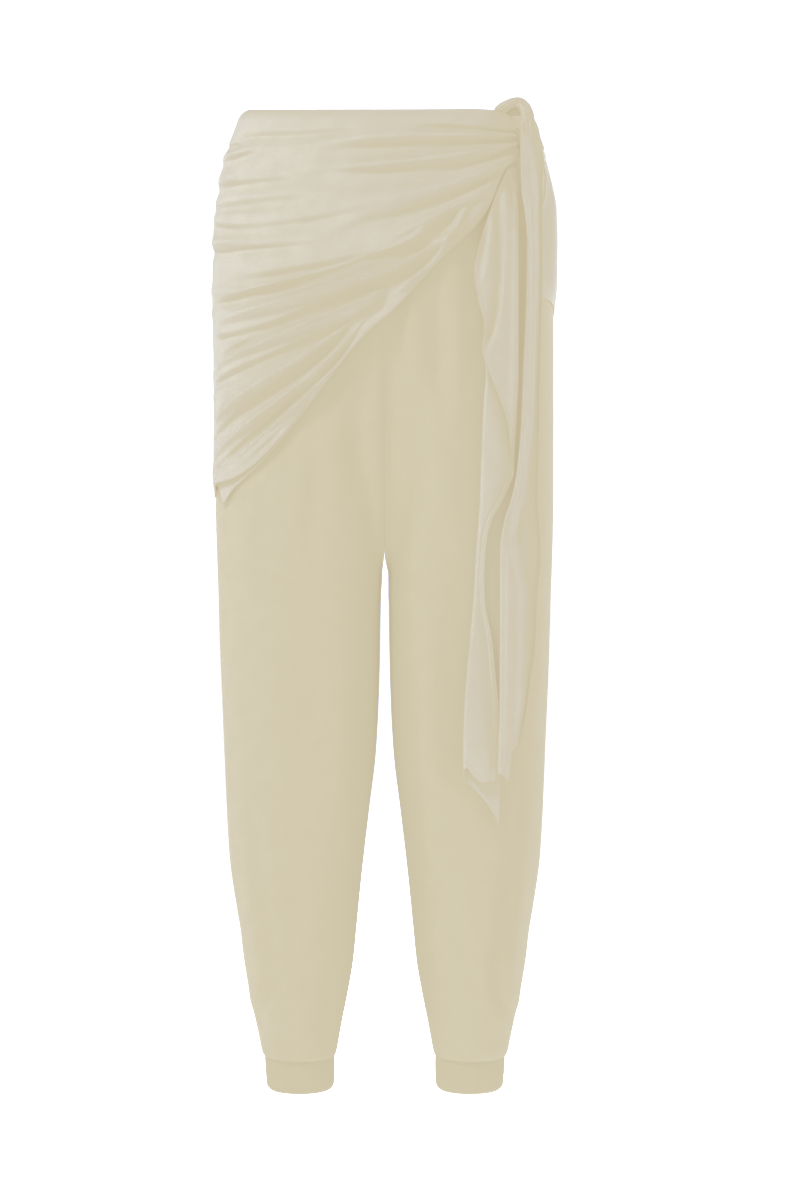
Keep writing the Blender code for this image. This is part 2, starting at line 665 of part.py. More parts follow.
def seen_grid(x, drop, out):
    """Points in space of a strip's points as seen from the front."""
    y = tail_rest(x, drop) - out
    px, pz = placed(x, drop, y)
    return np.stack([px, y, pz], -1)


def front_tail_grid(rows, counts, side):
    """The front end, one side of its wall. counts: columns of its back layer, its left fold and the rest."""
    back, turn, rest = counts
    share = np.linspace(0, 1, rows)[:, None]
    column = np.arange(back + turn + rest + 1, dtype=float)[None]
    in_back = np.clip(column / back, 0, 1)
    in_turn = np.clip((column - back) / turn, 0, 1)
    in_rest = np.clip((column - back - turn) / rest, 0, 1)
    low_back = 719.0 - 46.0 * in_back**0.8
    low_rest = 673.0 - 6.0 * np.sin(math.pi * in_rest) ** 2 + 3.0 * in_rest
    low = np.where(column < back + turn / 2, low_back, low_rest)
    top = 50.0 + 9.0 * in_rest
    drop = top + (low - top) * share
    table = np.array(FRONT_TAIL)
    r = table[:, 6]
    middle = table[:, 2] - table[:, 3] - 2 * r
    far = middle + math.pi * r + table[:, 2] - r - table[:, 1]
    near = table[:, 1] - table[:, 3] - r
    reach = np.where(table[:, 0] < FRONT_TAIL_OPENS, far, near)
    hem = smooth(np.stack([table[:, 0], reach], 1), 1, drop)
    right, left = smooth(FRONT_TAIL, 2, drop), smooth(FRONT_TAIL, 3, drop)
    edge, off, radius = smooth(FRONT_TAIL, 4, drop), smooth(FRONT_TAIL, 5, drop), smooth(FRONT_TAIL, 6, drop)
    length = np.maximum(edge - left - radius, 2.0)
    place = -math.pi * radius - length * (1 - in_back)
    place = np.where(column > back, -math.pi * radius * (1 - in_turn), place)
    place = np.where(column > back + turn, hem * in_rest, place)
    x, out, lean = folded(place, right, left, radius, off)
    half = side * TAIL_WALL / 2
    return seen_grid(x + half * np.sin(lean), drop, out + half * np.cos(lean))


def side_tail_grid(rows, counts, side):
    """The side end, one side of its wall. counts: columns of its curl, back layer, left fold and front."""
    curl, back, turn, rest = counts
    share = np.linspace(0, 1, rows)[:, None]
    column = np.arange(curl + back + turn + rest + 1, dtype=float)[None]
    in_curl = np.clip(column / curl, 0, 1)
    in_back = np.clip((column - curl) / back, 0, 1)
    in_turn = np.clip((column - curl - back) / turn, 0, 1)
    in_rest = np.clip((column - curl - back - turn) / rest, 0, 1)
    low = np.where(column <= curl + back, 634.0 + 30.0 * in_back, 664.0 + 8.0 * in_rest)
    top = 6.8
    drop = top + (low - top) * share
    free, right, left = smooth(SIDE_TAIL, 1, drop), smooth(SIDE_TAIL, 2, drop), smooth(SIDE_TAIL, 3, drop)
    off, radius = smooth(SIDE_TAIL, 4, drop), smooth(SIDE_TAIL, 5, drop)
    bend = np.radians(smooth(SIDE_TAIL, 6, drop))
    start = right - CURL_RADIUS
    angle = bend * (1 - in_curl)
    curl_x = start + CURL_RADIUS * np.sin(angle)
    curl_out = off + CURL_RADIUS * (1 - np.cos(angle))
    length = np.maximum(start - left - radius, 1.0)
    place = -math.pi * radius - length * (1 - in_back)
    place = np.where(column > curl + back, -math.pi * radius * (1 - in_turn), place)
    place = np.where(column > curl + back + turn, (free - left - radius) * in_rest, place)
    x, out, lean = folded(place, 1e4, left, radius, off)
    x, out = np.where(column < curl, curl_x, x), np.where(column < curl, curl_out, out)
    lean = np.where(column < curl, -math.pi - angle, lean)
    half = side * TAIL_WALL / 2
    return seen_grid(x + half * np.sin(lean), drop, out + half * np.cos(lean))


# The knot's strand starts at the back stretch's end and passes behind the front one: turn, drop,
# how far its middle is from the body, its half width and half thickness.
STRAND_BEHIND = (
    (83.2, 40.0, 4.2, 13.0, 2.8),
    (75.0, 39.5, 4.6, 10.5, 3.2),
    (65.0, 36.5, 4.8, 8.6, 3.6),
    (57.0, 29.0, 4.8, 8.2, 3.6),
    (51.5, 17.0, 5.3, 7.6, 4.0),
    (49.8, 6.5, 6.3, 7.2, 3.8),
)
# Then it rises over the waist and comes down in front: x and drop as seen, depth, half width and thickness.
STRAND_OVER = (
    (117.0, -1.0, -80.4, 6.6, 4.0),
    (121.0, -5.6, -83.0, 5.8, 4.4),
    (126.8, -8.2, -84.5, 5.2, 4.4),
    (133.0, -7.6, -86.0, 5.6, 4.4),
    (139.0, -4.0, -87.5, 6.6, 4.2),
    (142.8, -0.2, -88.8, 7.6, 3.8),
    (145.0, 3.0, -89.6, 8.2, 3.4),
)


def strand_table():
    """The strand's rows as x, depth and height of its middle, half width and half thickness."""
    rows = []
    for turn, drop, out, wide, thick in STRAND_BEHIND:
        rows.append((*torso(turn, drop, out), wide, thick))
    for x, drop, depth, wide, thick in STRAND_OVER:
        px, pz = placed(x, drop, depth)
        rows.append((float(px), depth, float(pz), wide, thick))
    return np.array(rows)


def strand_grid(rows, columns, out=0.0):
    """The rings of the knot's strand."""
    table = strand_table()
    run = np.arange(len(table), dtype=float)
    t = np.linspace(0, len(table) - 1, rows)
    lines = [smooth(np.stack([run, table[:, k]], 1), 1, t) for k in range(5)]
    x = lines[0]
    middle = np.stack(lines[:3], -1)
    along = np.gradient(middle, axis=0)
    along /= np.linalg.norm(along, axis=1, keepdims=True)
    low = np.clip((-middle[:, 2] - 8) / 20, 0, 1)
    outward = np.stack([x * 0.006 * (1 - low) + 1.2 * low * (x / 140) ** 4, -1 + 0 * x, 0.42 * low], -1)
    outward[0] = (0.96, -0.28, 0.27)
    outward -= along * (outward * along).sum(1, keepdims=True)
    outward /= np.linalg.norm(outward, axis=1, keepdims=True)
    across = np.cross(along, outward)
    a = np.linspace(0, 2 * math.pi, columns, endpoint=False)
    ca, sa = rounded(np.cos(a), 2.4), rounded(np.sin(a), 2.4)
    return (
        middle[:, None]
        + across[:, None] * ((lines[3] + out)[:, None] * ca[None])[..., None]
        + outward[:, None] * ((lines[4] + out)[:, None] * sa[None])[..., None]
    )


def capped(name, rings, made):
    """A closed body through rings of points, with flat ends."""
    rows, columns = rings.shape[:2]
    points = rings.reshape(-1, 3)
    faces = []
    for i in range(rows - 1):
        for j in range(columns):
            k = (j + 1) % columns
            faces.append((i * columns + j, i * columns + k, (i + 1) * columns + k, (i + 1) * columns + j))
    half = columns // 2
    for base, turned in ((0, False), ((rows - 1) * columns, True)):
        for j in range(half - 1):
            face = (base + j, base + columns - 1 - j, base + columns - 2 - j, base + j + 1)
            faces.append(tuple(reversed(face)) if turned else face)
    return add_mesh(name, points, faces, made)


# The lower layer of the wrap where it shows under the front hem: turn, then how far below the hem.
UNDER_SHOWS = ((-72, -4), (-66, 2), (-60, 20), (-55, 12), (-52, 8), (-45, 4.4), (-39, 2.5), (-24, 1.2), (-16, -3))


def under_grid(rows, columns, depth):
    turns = np.linspace(-71, -17, columns)
    edge = smooth(WRAP_HEM, 1, turns)
    low = edge + smooth(UNDER_SHOWS, 1, turns)
    drop = (edge - 16)[None] + (low - edge + 16)[None] * np.linspace(0, 1, rows)[:, None]
    turn = np.broadcast_to(turns, drop.shape)
    return torso(turn, drop, cover(turn, drop) + WRAP_OUT + 1.6 - depth)


def build():
    for item in list(bpy.data.objects):
        bpy.data.objects.remove(item, do_unlink=True)
    leg_cloth = material("leg_jersey", (0.63, 0.55, 0.41), 0.9)
    wrap_cloth = material("wrap_jersey", (0.67, 0.60, 0.47), 0.9)
    band_cloth = material("waistband_jersey", (0.62, 0.54, 0.40), 0.9)
    cuff_cloth = material("cuff_jersey", (0.60, 0.53, 0.39), 0.9)

    for side in ("left", "right"):
        for face in ("front", "back"):
            outer, inner = leg_grids(LEG_DROPS, 11 if face == "front" else 10, face == "back", side == "right")
            rolled = (face == "front") == (side == "left")
            walled(f"{face}_{side}_leg", outer, inner, leg_cloth, rolled=rolled)
        outer, inner = cuff_grids(24, side == "right")
        walled(f"cuff_{side}", outer, inner, cuff_cloth, cyclic=True)

    outer, inner = waistband(44)
    walled("waistband", outer, inner, band_cloth, cyclic=True)

    first, last = 56.0, -90.07
    walled("wrap_front", wrap_grid(last + 0.14, first, 41, 19, 0.0),
           wrap_grid(last + 0.14, first, 41, 19, WRAP_WALL), wrap_cloth)
    walled("wrap_back", wrap_grid(KNOT_BACK[0], last, 27, 21, 0.0),
           wrap_grid(KNOT_BACK[0], last, 27, 21, WRAP_WALL), wrap_cloth)
    walled("wrap_under_layer", under_grid(4, 15, 0.4), under_grid(4, 15, 1.7), wrap_cloth)

    counts = (3, 4, 12)
    walled("tail_front", front_tail_grid(34, counts, 1), front_tail_grid(34, counts, -1), wrap_cloth)
    counts = (3, 2, 4, 4)
    walled("tail_side", side_tail_grid(32, counts, 1), side_tail_grid(32, counts, -1), wrap_cloth)
    capped("knot_strand", strand_grid(24, 12), wrap_cloth)


build()
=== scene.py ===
"""Harem trousers with a tied wrap, dressed: thin cloth with its folds, hems, stitches and materials.

The tables are in millimetres, as in the part's source. "drop" is the distance below the waist, "turn"
is in degrees round the body from the front centre, positive towards the wearer's left, which is +X.
"""
import math

import bpy
import numpy as np
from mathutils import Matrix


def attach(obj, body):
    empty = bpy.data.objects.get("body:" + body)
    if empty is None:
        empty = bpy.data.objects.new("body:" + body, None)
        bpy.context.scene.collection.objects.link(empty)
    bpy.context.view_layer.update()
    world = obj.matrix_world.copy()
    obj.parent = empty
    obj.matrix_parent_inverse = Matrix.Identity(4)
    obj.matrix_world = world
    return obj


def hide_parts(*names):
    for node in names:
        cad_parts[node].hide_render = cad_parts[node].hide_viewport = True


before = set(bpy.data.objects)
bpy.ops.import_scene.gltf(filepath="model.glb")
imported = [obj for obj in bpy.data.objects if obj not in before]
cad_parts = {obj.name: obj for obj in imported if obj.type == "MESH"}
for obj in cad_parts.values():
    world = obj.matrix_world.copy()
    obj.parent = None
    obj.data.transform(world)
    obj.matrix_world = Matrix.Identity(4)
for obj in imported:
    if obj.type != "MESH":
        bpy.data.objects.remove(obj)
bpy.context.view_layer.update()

MM = 0.001
SEAM_GAP = 0.04
BAND_DEPTH = 38.0
CUFF_TOP = 948.0
PARTED_DROP = 455.0
WRAP_OUT = 2.2
RIM_SLOPE = 0.085
RIM_FADE = 240.0
FORM_POWER = 2.3

# Where the front view is seen from: to the side of the centre, down from the waist, and away, with the
# drop that it is aimed at and the drop that its tables have at that middle.
VIEW_SIDE = 15.3
VIEW_DROP = 296.0
VIEW_AIM_DROP = 486.0
VIEW_AWAY = 3200.0
VIEW_MIDDLE = 489.5

# The form round both legs: drop, half width, front depth, back depth, depth of the side seam.
FORM = (
    (0, 133, 93, 87, 0),
    (4, 138.5, 98, 92, 0),
    (9, 142, 101.5, 96, 0),
    (20, 146, 105, 101, 0),
    (40, 153.5, 108, 108, 0),
    (60, 159, 111, 114, 0),
    (80, 162.5, 114, 121, 0),
    (100, 165.5, 116, 128, 0),
    (140, 167.5, 118, 137, 0),
    (200, 168, 118, 140, 1),
    (260, 168, 114, 132, 2),
    (330, 168, 108, 120, 3),
    (400, 168, 105, 113, 4),
    (440, 167, 102, 110, 4),
    (490, 165.5, 99, 105, 5),
    (540, 164, 95, 101, 5),
    (590, 162, 91, 98.5, 6),
    (640, 160, 87, 97, 7),
    (690, 158, 83, 96, 7),
    (745, 155, 77, 95, 8),
    (790, 149, 71, 93, 9),
    (820, 144, 65, 91, 9),
    (850, 140.5, 60, 88, 10),
    (880, 135.5, 53, 83, 11),
    (900, 131.5, 47, 78, 11),
    (925, 126, 38, 68, 12),
    (940, 123, 31, 59, 12),
    (951, 119.5, 25.5, 49.5, 12),
    (985, 117, 24, 48, 12),
)

# The gap between the legs: drop, half gap, roundness of the inner side, roundness of the outer side.
INNER = (
    (0, 0.15, 3.8, 2.3),
    (413, 0.15, 3.8, 2.3),
    (450, 0.5, 3.8, 2.3),
    (460, 2.2, 3.7, 2.3),
    (490, 4.7, 3.6, 2.3),
    (540, 5.7, 3.4, 2.3),
    (580, 6.7, 3.2, 2.3),
    (640, 9.7, 3, 2.3),
    (700, 16.7, 2.8, 2.3),
    (760, 23.7, 2.6, 2.2),
    (820, 29.7, 2.4, 2.2),
    (850, 32.7, 2.3, 2.2),
    (880, 37.7, 2.2, 2.1),
    (910, 43.7, 2.2, 2.1),
    (940, 49.2, 2.1, 2.1),
    (951, 51.7, 2.1, 2.1),
    (985, 52.7, 2.1, 2.1),
)


def unit(value):
    """A value kept between 0 and 1."""
    return np.clip(value, 0, 1)


def eased(share):
    """A share from 0 to 1 that starts and ends slowly."""
    return share * share * (3 - 2 * share)


def hump(away):
    """A soft hump, 1 where away is 0."""
    return np.exp(-(away**2))


def smooth(table, column, at):
    """A column of a table as a smooth curve over the first column, with no overshoot."""
    rows = np.array(table, float)
    x, y = rows[:, 0], rows[:, column]
    steps = np.diff(x)
    slope = np.diff(y) / steps
    both = slope[:-1] * slope[1:]
    total = np.where(both > 0, slope[:-1] + slope[1:], 1.0)
    inner = np.where(both > 0, 2 * both / total, 0.0)
    ends = np.concatenate([[slope[0]], inner, [slope[-1]]])
    at = np.clip(np.asarray(at, float), x[0], x[-1])
    i = np.clip(np.searchsorted(x, at, side="right") - 1, 0, len(steps) - 1)
    t = (at - x[i]) / steps[i]
    rise = (2 * t**3 - 3 * t**2 + 1) * y[i] + (3 * t**2 - 2 * t**3) * y[i + 1]
    lean = (t**3 - 2 * t**2 + t) * ends[i] + (t**3 - t**2) * ends[i + 1]
    return rise + lean * steps[i]


def placed(x, drop, y):
    """True x and z of a point that is seen from the front at x and drop and lies at depth y."""
    lean = math.atan2(VIEW_AIM_DROP - VIEW_DROP, VIEW_AWAY)
    focus = math.hypot(VIEW_AIM_DROP - VIEW_DROP, VIEW_AWAY)
    side = np.asarray(x, float) - VIEW_SIDE
    up = VIEW_MIDDLE - np.asarray(drop, float)
    ray_y = focus * math.cos(lean) + up * math.sin(lean)
    ray_z = up * math.cos(lean) - focus * math.sin(lean)
    reach = (np.asarray(y, float) + VIEW_AWAY) / ray_y
    return VIEW_SIDE + reach * side, reach * ray_z - VIEW_DROP


def as_true(table, widths):
    """A table of what the front view shows, with its drops and widths made true ones."""
    made = []
    for row in table:
        row = list(row)
        seen = row[0]
        row[0] = float(-placed(0.0, seen, 0.0)[1])
        for column in widths:
            right = placed(row[column], seen, 0.0)[0]
            left = placed(-row[column], seen, 0.0)[0]
            row[column] = float(right - left) / 2
        made.append(tuple(row))
    return tuple(made)


BODY = as_true(FORM, (1,))
GAP = as_true(INNER, ())


def height(drop, y):
    """z of a point: the waist rim rises to the back, and the slope fades out down the hips."""
    fade = unit(1 - np.asarray(drop, float) / RIM_FADE) ** 2
    fade = np.where(np.asarray(drop) < 0, 1.0, fade)
    return -drop + RIM_SLOPE * fade * y


def rounded(value, power):
    """A sine or cosine drawn out into a squarer oval."""
    return np.sign(value) * np.abs(value) ** (2 / power)


def torso(turn, drop, out=0.0):
    """Points on the form round both legs, moved out by a distance."""
    turn, drop, out = np.broadcast_arrays(
        np.asarray(turn, float), np.asarray(drop, float), np.asarray(out, float)
    )
    s, c = np.sin(np.radians(turn)), np.cos(np.radians(turn))
    half = smooth(BODY, 1, drop)
    deep = np.where(c > 0, smooth(BODY, 2, drop), smooth(BODY, 3, drop))
    x, y = half * rounded(s, FORM_POWER), -deep * rounded(c, FORM_POWER)
    nx = np.sign(s) * np.abs(s) ** (2 - 2 / FORM_POWER) / half
    ny = -np.sign(c) * np.abs(c) ** (2 - 2 / FORM_POWER) / deep
    size = np.hypot(nx, ny)
    x, y = x + out * nx / size, y + out * ny / size
    return np.stack([x, y, height(drop, y)], -1)


def shared(x, y, shares, inner=0.0, weight=1.0):
    """A line's points at these shares of its length. Depth counts less where x is under inner."""
    count = np.where(x[1:] < inner, weight, 1.0)
    along = np.concatenate([[0], np.cumsum(np.hypot(np.diff(x), count * np.diff(y)))])
    along /= along[-1]
    return np.interp(shares, along, x), np.interp(shares, along, y)


# How deep the valley between the legs is under the round form: drop, depth. The crotch is at its end.
CLEFT = (
    (165, 0.1), (200, 1.5), (250, 4), (300, 7), (350, 10), (400, 15), (425, 21),
    (440, 30), (450, 46), (460, 78), (475, 150), (1000, 150),
)


def parting(drop):
    """0 where both legs are one round form, 1 from the crotch down."""
    return eased(unit((drop - CLEFT[0][0]) / (PARTED_DROP - CLEFT[0][0])))


def leg_section(drop, shares, back):
    """The left half of a level, from the centre or the inseam round to the side seam."""
    half, side = float(smooth(BODY, 1, drop)), float(smooth(BODY, 4, drop))
    deep = float(smooth(BODY, 3 if back else 2, drop))
    facing = 1 if back else -1
    wanted, shares = shares, np.linspace(0, 1, 160)
    a = np.linspace(0, math.pi / 2, 91)
    tx, ty = half * rounded(np.sin(a), FORM_POWER), facing * deep * rounded(np.cos(a), FORM_POWER)
    tx, ty = shared(tx, ty, shares)
    gap = float(smooth(GAP, 1, drop))
    inner, outer = float(smooth(GAP, 2, drop)), float(smooth(GAP, 3, drop))
    middle, wide = (half + gap) / 2, (half - gap) / 2
    a = np.linspace(math.pi, 0, 181)
    power = np.where(a > math.pi / 2, inner, outer)
    lx = middle + wide * np.sign(np.cos(a)) * np.abs(np.cos(a)) ** (2 / power)
    ly = side + (facing * deep - side) * np.abs(np.sin(a)) ** (2 / power)
    lx, ly = shared(lx, ly, shares)
    m = float(parting(drop))
    x, y = tx + (lx - tx) * m, ty + (ly - ty) * m
    cleft = float(smooth(CLEFT, 1, drop))
    blend = min(8.0, 0.8 * cleft)
    least = deep * np.maximum(1 - unit(x / half) ** FORM_POWER, 0) ** (1 / FORM_POWER)
    least = np.where(x < 0.6 * half, least - cleft - blend, -1e3)
    depth = facing * y
    lift = np.maximum(blend - np.abs(depth - least), 0) ** 2 / (4 * blend)
    y = facing * (np.maximum(depth, least) + lift)
    weight = unit((drop - 465) / 150)
    weight = 0.35 + 0.65 * weight * weight * (3 - 2 * weight)
    return shared(np.maximum(x, SEAM_GAP / 2), y, wanted, 0.3 * half, weight)


# How far the legs stand out of the round form, as a cloth stretched over them lies.
COVER_DROPS = np.arange(0, 1001, 12.5)
COVER_TURNS = np.arange(0, 181, 3.0)


def cover_table():
    """The furthest that the legs reach past the round form, at each drop and turn."""
    shares = np.linspace(0, 1, 90)
    rows = []
    for drop in COVER_DROPS:
        front, rear = leg_section(drop, shares, False), leg_section(drop, shares, True)
        x = np.concatenate([front[0], rear[0], -front[0], -rear[0]])
        y = np.concatenate([front[1], rear[1], front[1], rear[1]])
        at, moved = torso(COVER_TURNS, drop), torso(COVER_TURNS, drop, 1.0)
        nx, ny = (moved - at)[:, 0], (moved - at)[:, 1]
        reach = nx[:, None] * x[None] + ny[:, None] * y[None]
        rows.append(np.maximum(reach.max(1) - nx * at[:, 0] - ny * at[:, 1], 0))
    return np.array(rows)


COVER = cover_table()


def between(table, rows, columns, r, c):
    """A table read between its rows and columns."""
    r = np.clip((np.asarray(r, float) - rows[0]) / (rows[1] - rows[0]), 0, len(rows) - 1.001)
    c = np.clip((np.asarray(c, float) - columns[0]) / (columns[1] - columns[0]), 0, len(columns) - 1.001)
    i, j = r.astype(int), c.astype(int)
    r, c = r - i, c - j
    near = table[i, j] * (1 - c) + table[i, j + 1] * c
    far = table[i + 1, j] * (1 - c) + table[i + 1, j + 1] * c
    return near * (1 - r) + far * r


def cover(turn, drop):
    """How far a cloth over the legs stands out of the round form there."""
    turn = np.abs((np.asarray(turn, float) + 180) % 360 - 180)
    return between(COVER, COVER_DROPS, COVER_TURNS, np.maximum(drop, 0) + 0 * turn, turn)


# The depth of the front of the left leg at each drop and distance from the centre.
FRONT_ACROSS = np.arange(0, 171, 3.0)


def front_table():
    """The depths of the left leg's front. Past its side they stay as they are there."""
    shares = np.linspace(0, 1, 120)
    rows = []
    for drop in COVER_DROPS:
        x, y = leg_section(drop, shares, False)
        reach = 0.93 * float(smooth(BODY, 1, drop))
        rows.append(np.interp(np.minimum(FRONT_ACROSS, reach), x, y))
    return np.array(rows)


FRONT = front_table()


def front_depth(x, drop):
    """The depth of the front at a distance from the centre."""
    return between(FRONT, COVER_DROPS, FRONT_ACROSS, drop, np.abs(x))


# Where the wrap's cloth gathers at the knot: turn and drop, of its front end and its back end.
KNOT_FRONT = (50.0, 34.0)
KNOT_BACK = (-275.0, 40.0)
TURN_STEP = 2.8

# The cloth's thickness in this model.
CLOTH = 1.0

# The wrap's folds, from the knot outwards. Each row: turn and drop where it starts, at its middle and
# where it ends, its width above and below the line, and its height, which is negative for a trough.
# The turn runs on past the wearer's right side at -90 to the back at -180.
WRAP_FOLDS = (
    (55, 25, 30, 21, 10, 19, 5, 5, -2.8),
    (-8, 24, -34, 27, -76, 29, 5, 5, -1.9),
    (55, 29, 11, 25.5, -29, 34.5, 5, 6, 2),
    (54, 32, 14, 38, -20, 47, 7, 8, -4.2),
    (54, 35.5, 13, 49, -14, 59, 6, 7, 2.8),
    (51, 39.5, 10, 66, -26, 69, 8, 8, -4.6),
    (46, 49, 13, 80, -14, 98, 12, 11, 2.9),
    (43.5, 60, 12.5, 97, -18, 136, 6, 6, -3),
    (34, 80, 16, 105, 0, 132, 4.5, 5, 2.6),
    (20, 106, -6, 152, -56, 171, 4.7, 5.5, -3.5),
    (10, 122, -12, 158, -54, 182, 3.1, 3.1, 2.3),
    (15, 117.5, -12, 166, -74, 194, 3.5, 4.7, -5),
    (23, 107, -10, 174, -78, 214, 4.7, 5.5, 3.9),
    (14, 137, -24, 206, -80, 228, 3.1, 3.9, -2.8),
    (15.5, 137, -10, 188, -73, 257, 4.7, 6.2, -5),
    (17, 135, -15, 206, -92, 270, 5.5, 4.7, 3.9),
    (4, 172, -25, 236, -86, 281, 4.7, 5.5, -4.7),
    (4, 179, -25, 247, -76, 318, 4.7, 5.5, 4.2),
    (1, 183.5, -25, 257.5, -74, 333, 3.9, 4.7, -4.1),
    (-1, 191, -25, 272, -73, 352, 3.9, 3.9, 3.1),
    (-2, 199, -25, 283, -66, 359, 3.1, 3.1, -3),
    (-4, 215.5, -23, 284, -58, 358, 3.1, 3.1, 2.2),
    (-2, 222, -23, 296, -52, 362, 3.1, 3.1, -1.9),
    (-94, 36, -76, 37.5, -56, 36, 3, 3, -2.2),
    (-90, 48, -66, 44, -47, 36, 5, 5, 1.6),
    (-92, 58, -66, 51, -46, 43, 4, 4, -1.3),
    (-100, 71, -74, 69, -52, 65, 6, 5, 1.5),
    (-100, 82, -60, 78, -26, 72, 5, 5, -2.8),
    (-86, 100, -48, 97, -19, 90, 6, 5, -2.5),
    (-98, 106, -66, 106, -38, 106, 5, 5, 0.9),
    (-78, 116, -38, 120, -4, 102, 5, 6, -2.5),
    (-104, 132, -76, 132, -50, 132, 6, 4, 1.8),
    (-102, 140, -60, 141, -18, 136, 3, 5, -2.6),
    (-96, 180, -74, 180, -50, 181, 6, 6, 1.6),
    (-98, 202, -76, 202, -46, 196, 5, 5, 1.4),
    (-110, 236, -84, 232, -58, 218, 6, 6, 1.4),
    (-112, 300, -84, 284, -58, 274, 5, 5, 1.4),
    (-112, 326, -88, 312, -64, 300, 4, 5, -1.4),
    (-272, 30, -230, 26, -150, 32, 5, 5, -1.8),
    (-271, 32, -224, 38, -140, 44, 5, 6, 1.6),
    (-270, 34, -220, 52, -132, 60, 6, 7, -2.4),
    (-268, 38, -216, 66, -118, 72, 7, 7, 2.6),
    (-266, 42, -214, 80, -106, 86, 7, 7, -2.8),
    (-264, 47, -211, 94, -104, 112, 7, 7, 2.6),
    (-262, 52, -208, 108, -108, 134, 6, 6, -2),
    (-260, 57, -206, 120, -100, 152, 7, 7, 2.4),
    (-258, 62, -204, 134, -92, 180, 7, 8, -3.2),
    (-252, 76, -196, 160, -90, 226, 8, 8, 3),
    (-250, 84, -192, 176, -96, 246, 6, 6, -2.2),
    (-247, 92, -190, 192, -92, 262, 7, 7, 2.2),
    (-244, 100, -187, 206, -86, 292, 8, 8, -3),
    (-238, 112, -182, 222, -84, 312, 8, 7, 2.8),
    (-234, 122, -179, 238, -94, 338, 6, 7, -2.4),
    (-230, 134, -176, 252, -90, 352, 6, 6, 2.2),
    (-224, 150, -172, 270, -94, 366, 5, 5, -1.8),
    (-218, 164, -168, 286, -100, 372, 5, 5, 1.8),
)


# The wrap's lower hem: turn and drop.
WRAP_HEM = (
    (-290, 188), (-275, 197), (-262, 208), (-245, 226), (-225, 250), (-200, 281), (-175, 312),
    (-150, 342), (-125, 370), (-105, 383), (-90, 384), (-75, 377), (-62, 368), (-54, 365),
    (-42, 350), (-25, 302), (-3, 220), (15, 154), (32, 107), (43, 62), (51, 51), (57, 47),
)

# The wrap's upper edge: turn and drop.
WRAP_TOP = (
    (-290, 24), (-275, 23), (-262, 5), (-240, 0), (-200, 0), (-90, 0), (-40, 0.5),
    (30, 0.5), (42, 1.5), (51, 4.5), (57, 8),
)

# The back stretch's front edge: drop and turn. It goes further to the front below the knot's strand.
BACK_EDGE = ((0, -275), (58, -276), (80, -284), (112, -295), (200, -297))


def bezier(row, count):
    """Points along a fold's line, which passes through its middle point."""
    a, b, c = np.array(row[0:2]), np.array(row[2:4]), np.array(row[4:6])
    b = 2 * b - (a + c) / 2
    t = np.linspace(0, 1, count)[:, None]
    return (1 - t) ** 2 * a + 2 * t * (1 - t) * b + t**2 * c


# A ridge falls steeply below its line. A trough is steep above its line and gentle below it.
STEEP = 0.8
GENTLE = 1.25
# How far from the knot a fold has its full width, and the least share of it at the knot.
FULL_WIDTH_AT = 170
LEAST_WIDTH = 0.3
# How many straight steps a fold's line is measured in.
FOLD_STEPS = 16


def line_relief(row, u, v, step=1.0, knot=None, ends=(0.16, 0.42)):
    """How far one fold lifts or sinks the cloth at points u, v of its surface."""
    line = bezier(row, FOLD_STEPS + 1)
    line[:, 0] *= step
    u = u * step
    nearest = np.full(u.shape, 1e9)
    across, along = np.zeros(u.shape), np.zeros(u.shape)
    for i in range(FOLD_STEPS):
        start, run = line[i], line[i + 1] - line[i]
        long = math.hypot(run[0], run[1])
        low = -1e3 if i == 0 else 0.0
        high = 1e3 if i == FOLD_STEPS - 1 else 1.0
        t = np.clip(((u - start[0]) * run[0] + (v - start[1]) * run[1]) / long**2, low, high)
        du, dv = u - start[0] - t * run[0], v - start[1] - t * run[1]
        away = np.hypot(du, dv)
        closer = away < nearest
        nearest = np.where(closer, away, nearest)
        side = np.sign(run[0] * dv - run[1] * du) * (1 if run[0] > 0 or knot is None else -1)
        across = np.where(closer, side * away, across)
        along = np.where(closer, (i + t) / FOLD_STEPS, along)
    spread = 1.0
    if knot is not None:
        spread = np.hypot(u - knot[0] * step, v - knot[1]) / FULL_WIDTH_AT
        spread = np.clip(LEAST_WIDTH + spread, LEAST_WIDTH, 1.4 if row[0] > 30 else 1.0)
    above, below = (1.0, STEEP) if row[8] > 0 else (STEEP, GENTLE)
    width = np.where(across < 0, row[6] * above, row[7] * below) * spread
    spread = np.minimum(spread, 1.0)
    fade = unit((along + 0.10) / ends[0]) * unit((1.10 - along) / ends[1])
    shape = hump(across / width)
    return row[8] * spread**0.6 * shape * fade * fade * (3 - 2 * fade)


def ripple(u, v, seed):
    """A slight unevenness of the cloth, from a few long waves."""
    waves = ((0.041, 0.023, 0.4), (-0.029, 0.051, 0.3), (0.083, -0.037, 0.18), (0.061, 0.097, 0.14))
    total = 0.0
    for k, (a, b, high) in enumerate(waves):
        total = total + high * np.sin(a * u + b * v + seed + 1.7 * k)
    return total


FOLD_FRONT = 1.9
FOLD_SIDE = 0.38
WRAP_BASE = 2.2
# Near the knot the troughs may be this much deeper.
KNOT_ROOM = 3.0


def from_knot(turn, drop, knot):
    """The distance along the cloth from one of the wrap's gathered ends."""
    return np.hypot((turn - knot[0]) * TURN_STEP, drop - knot[1])


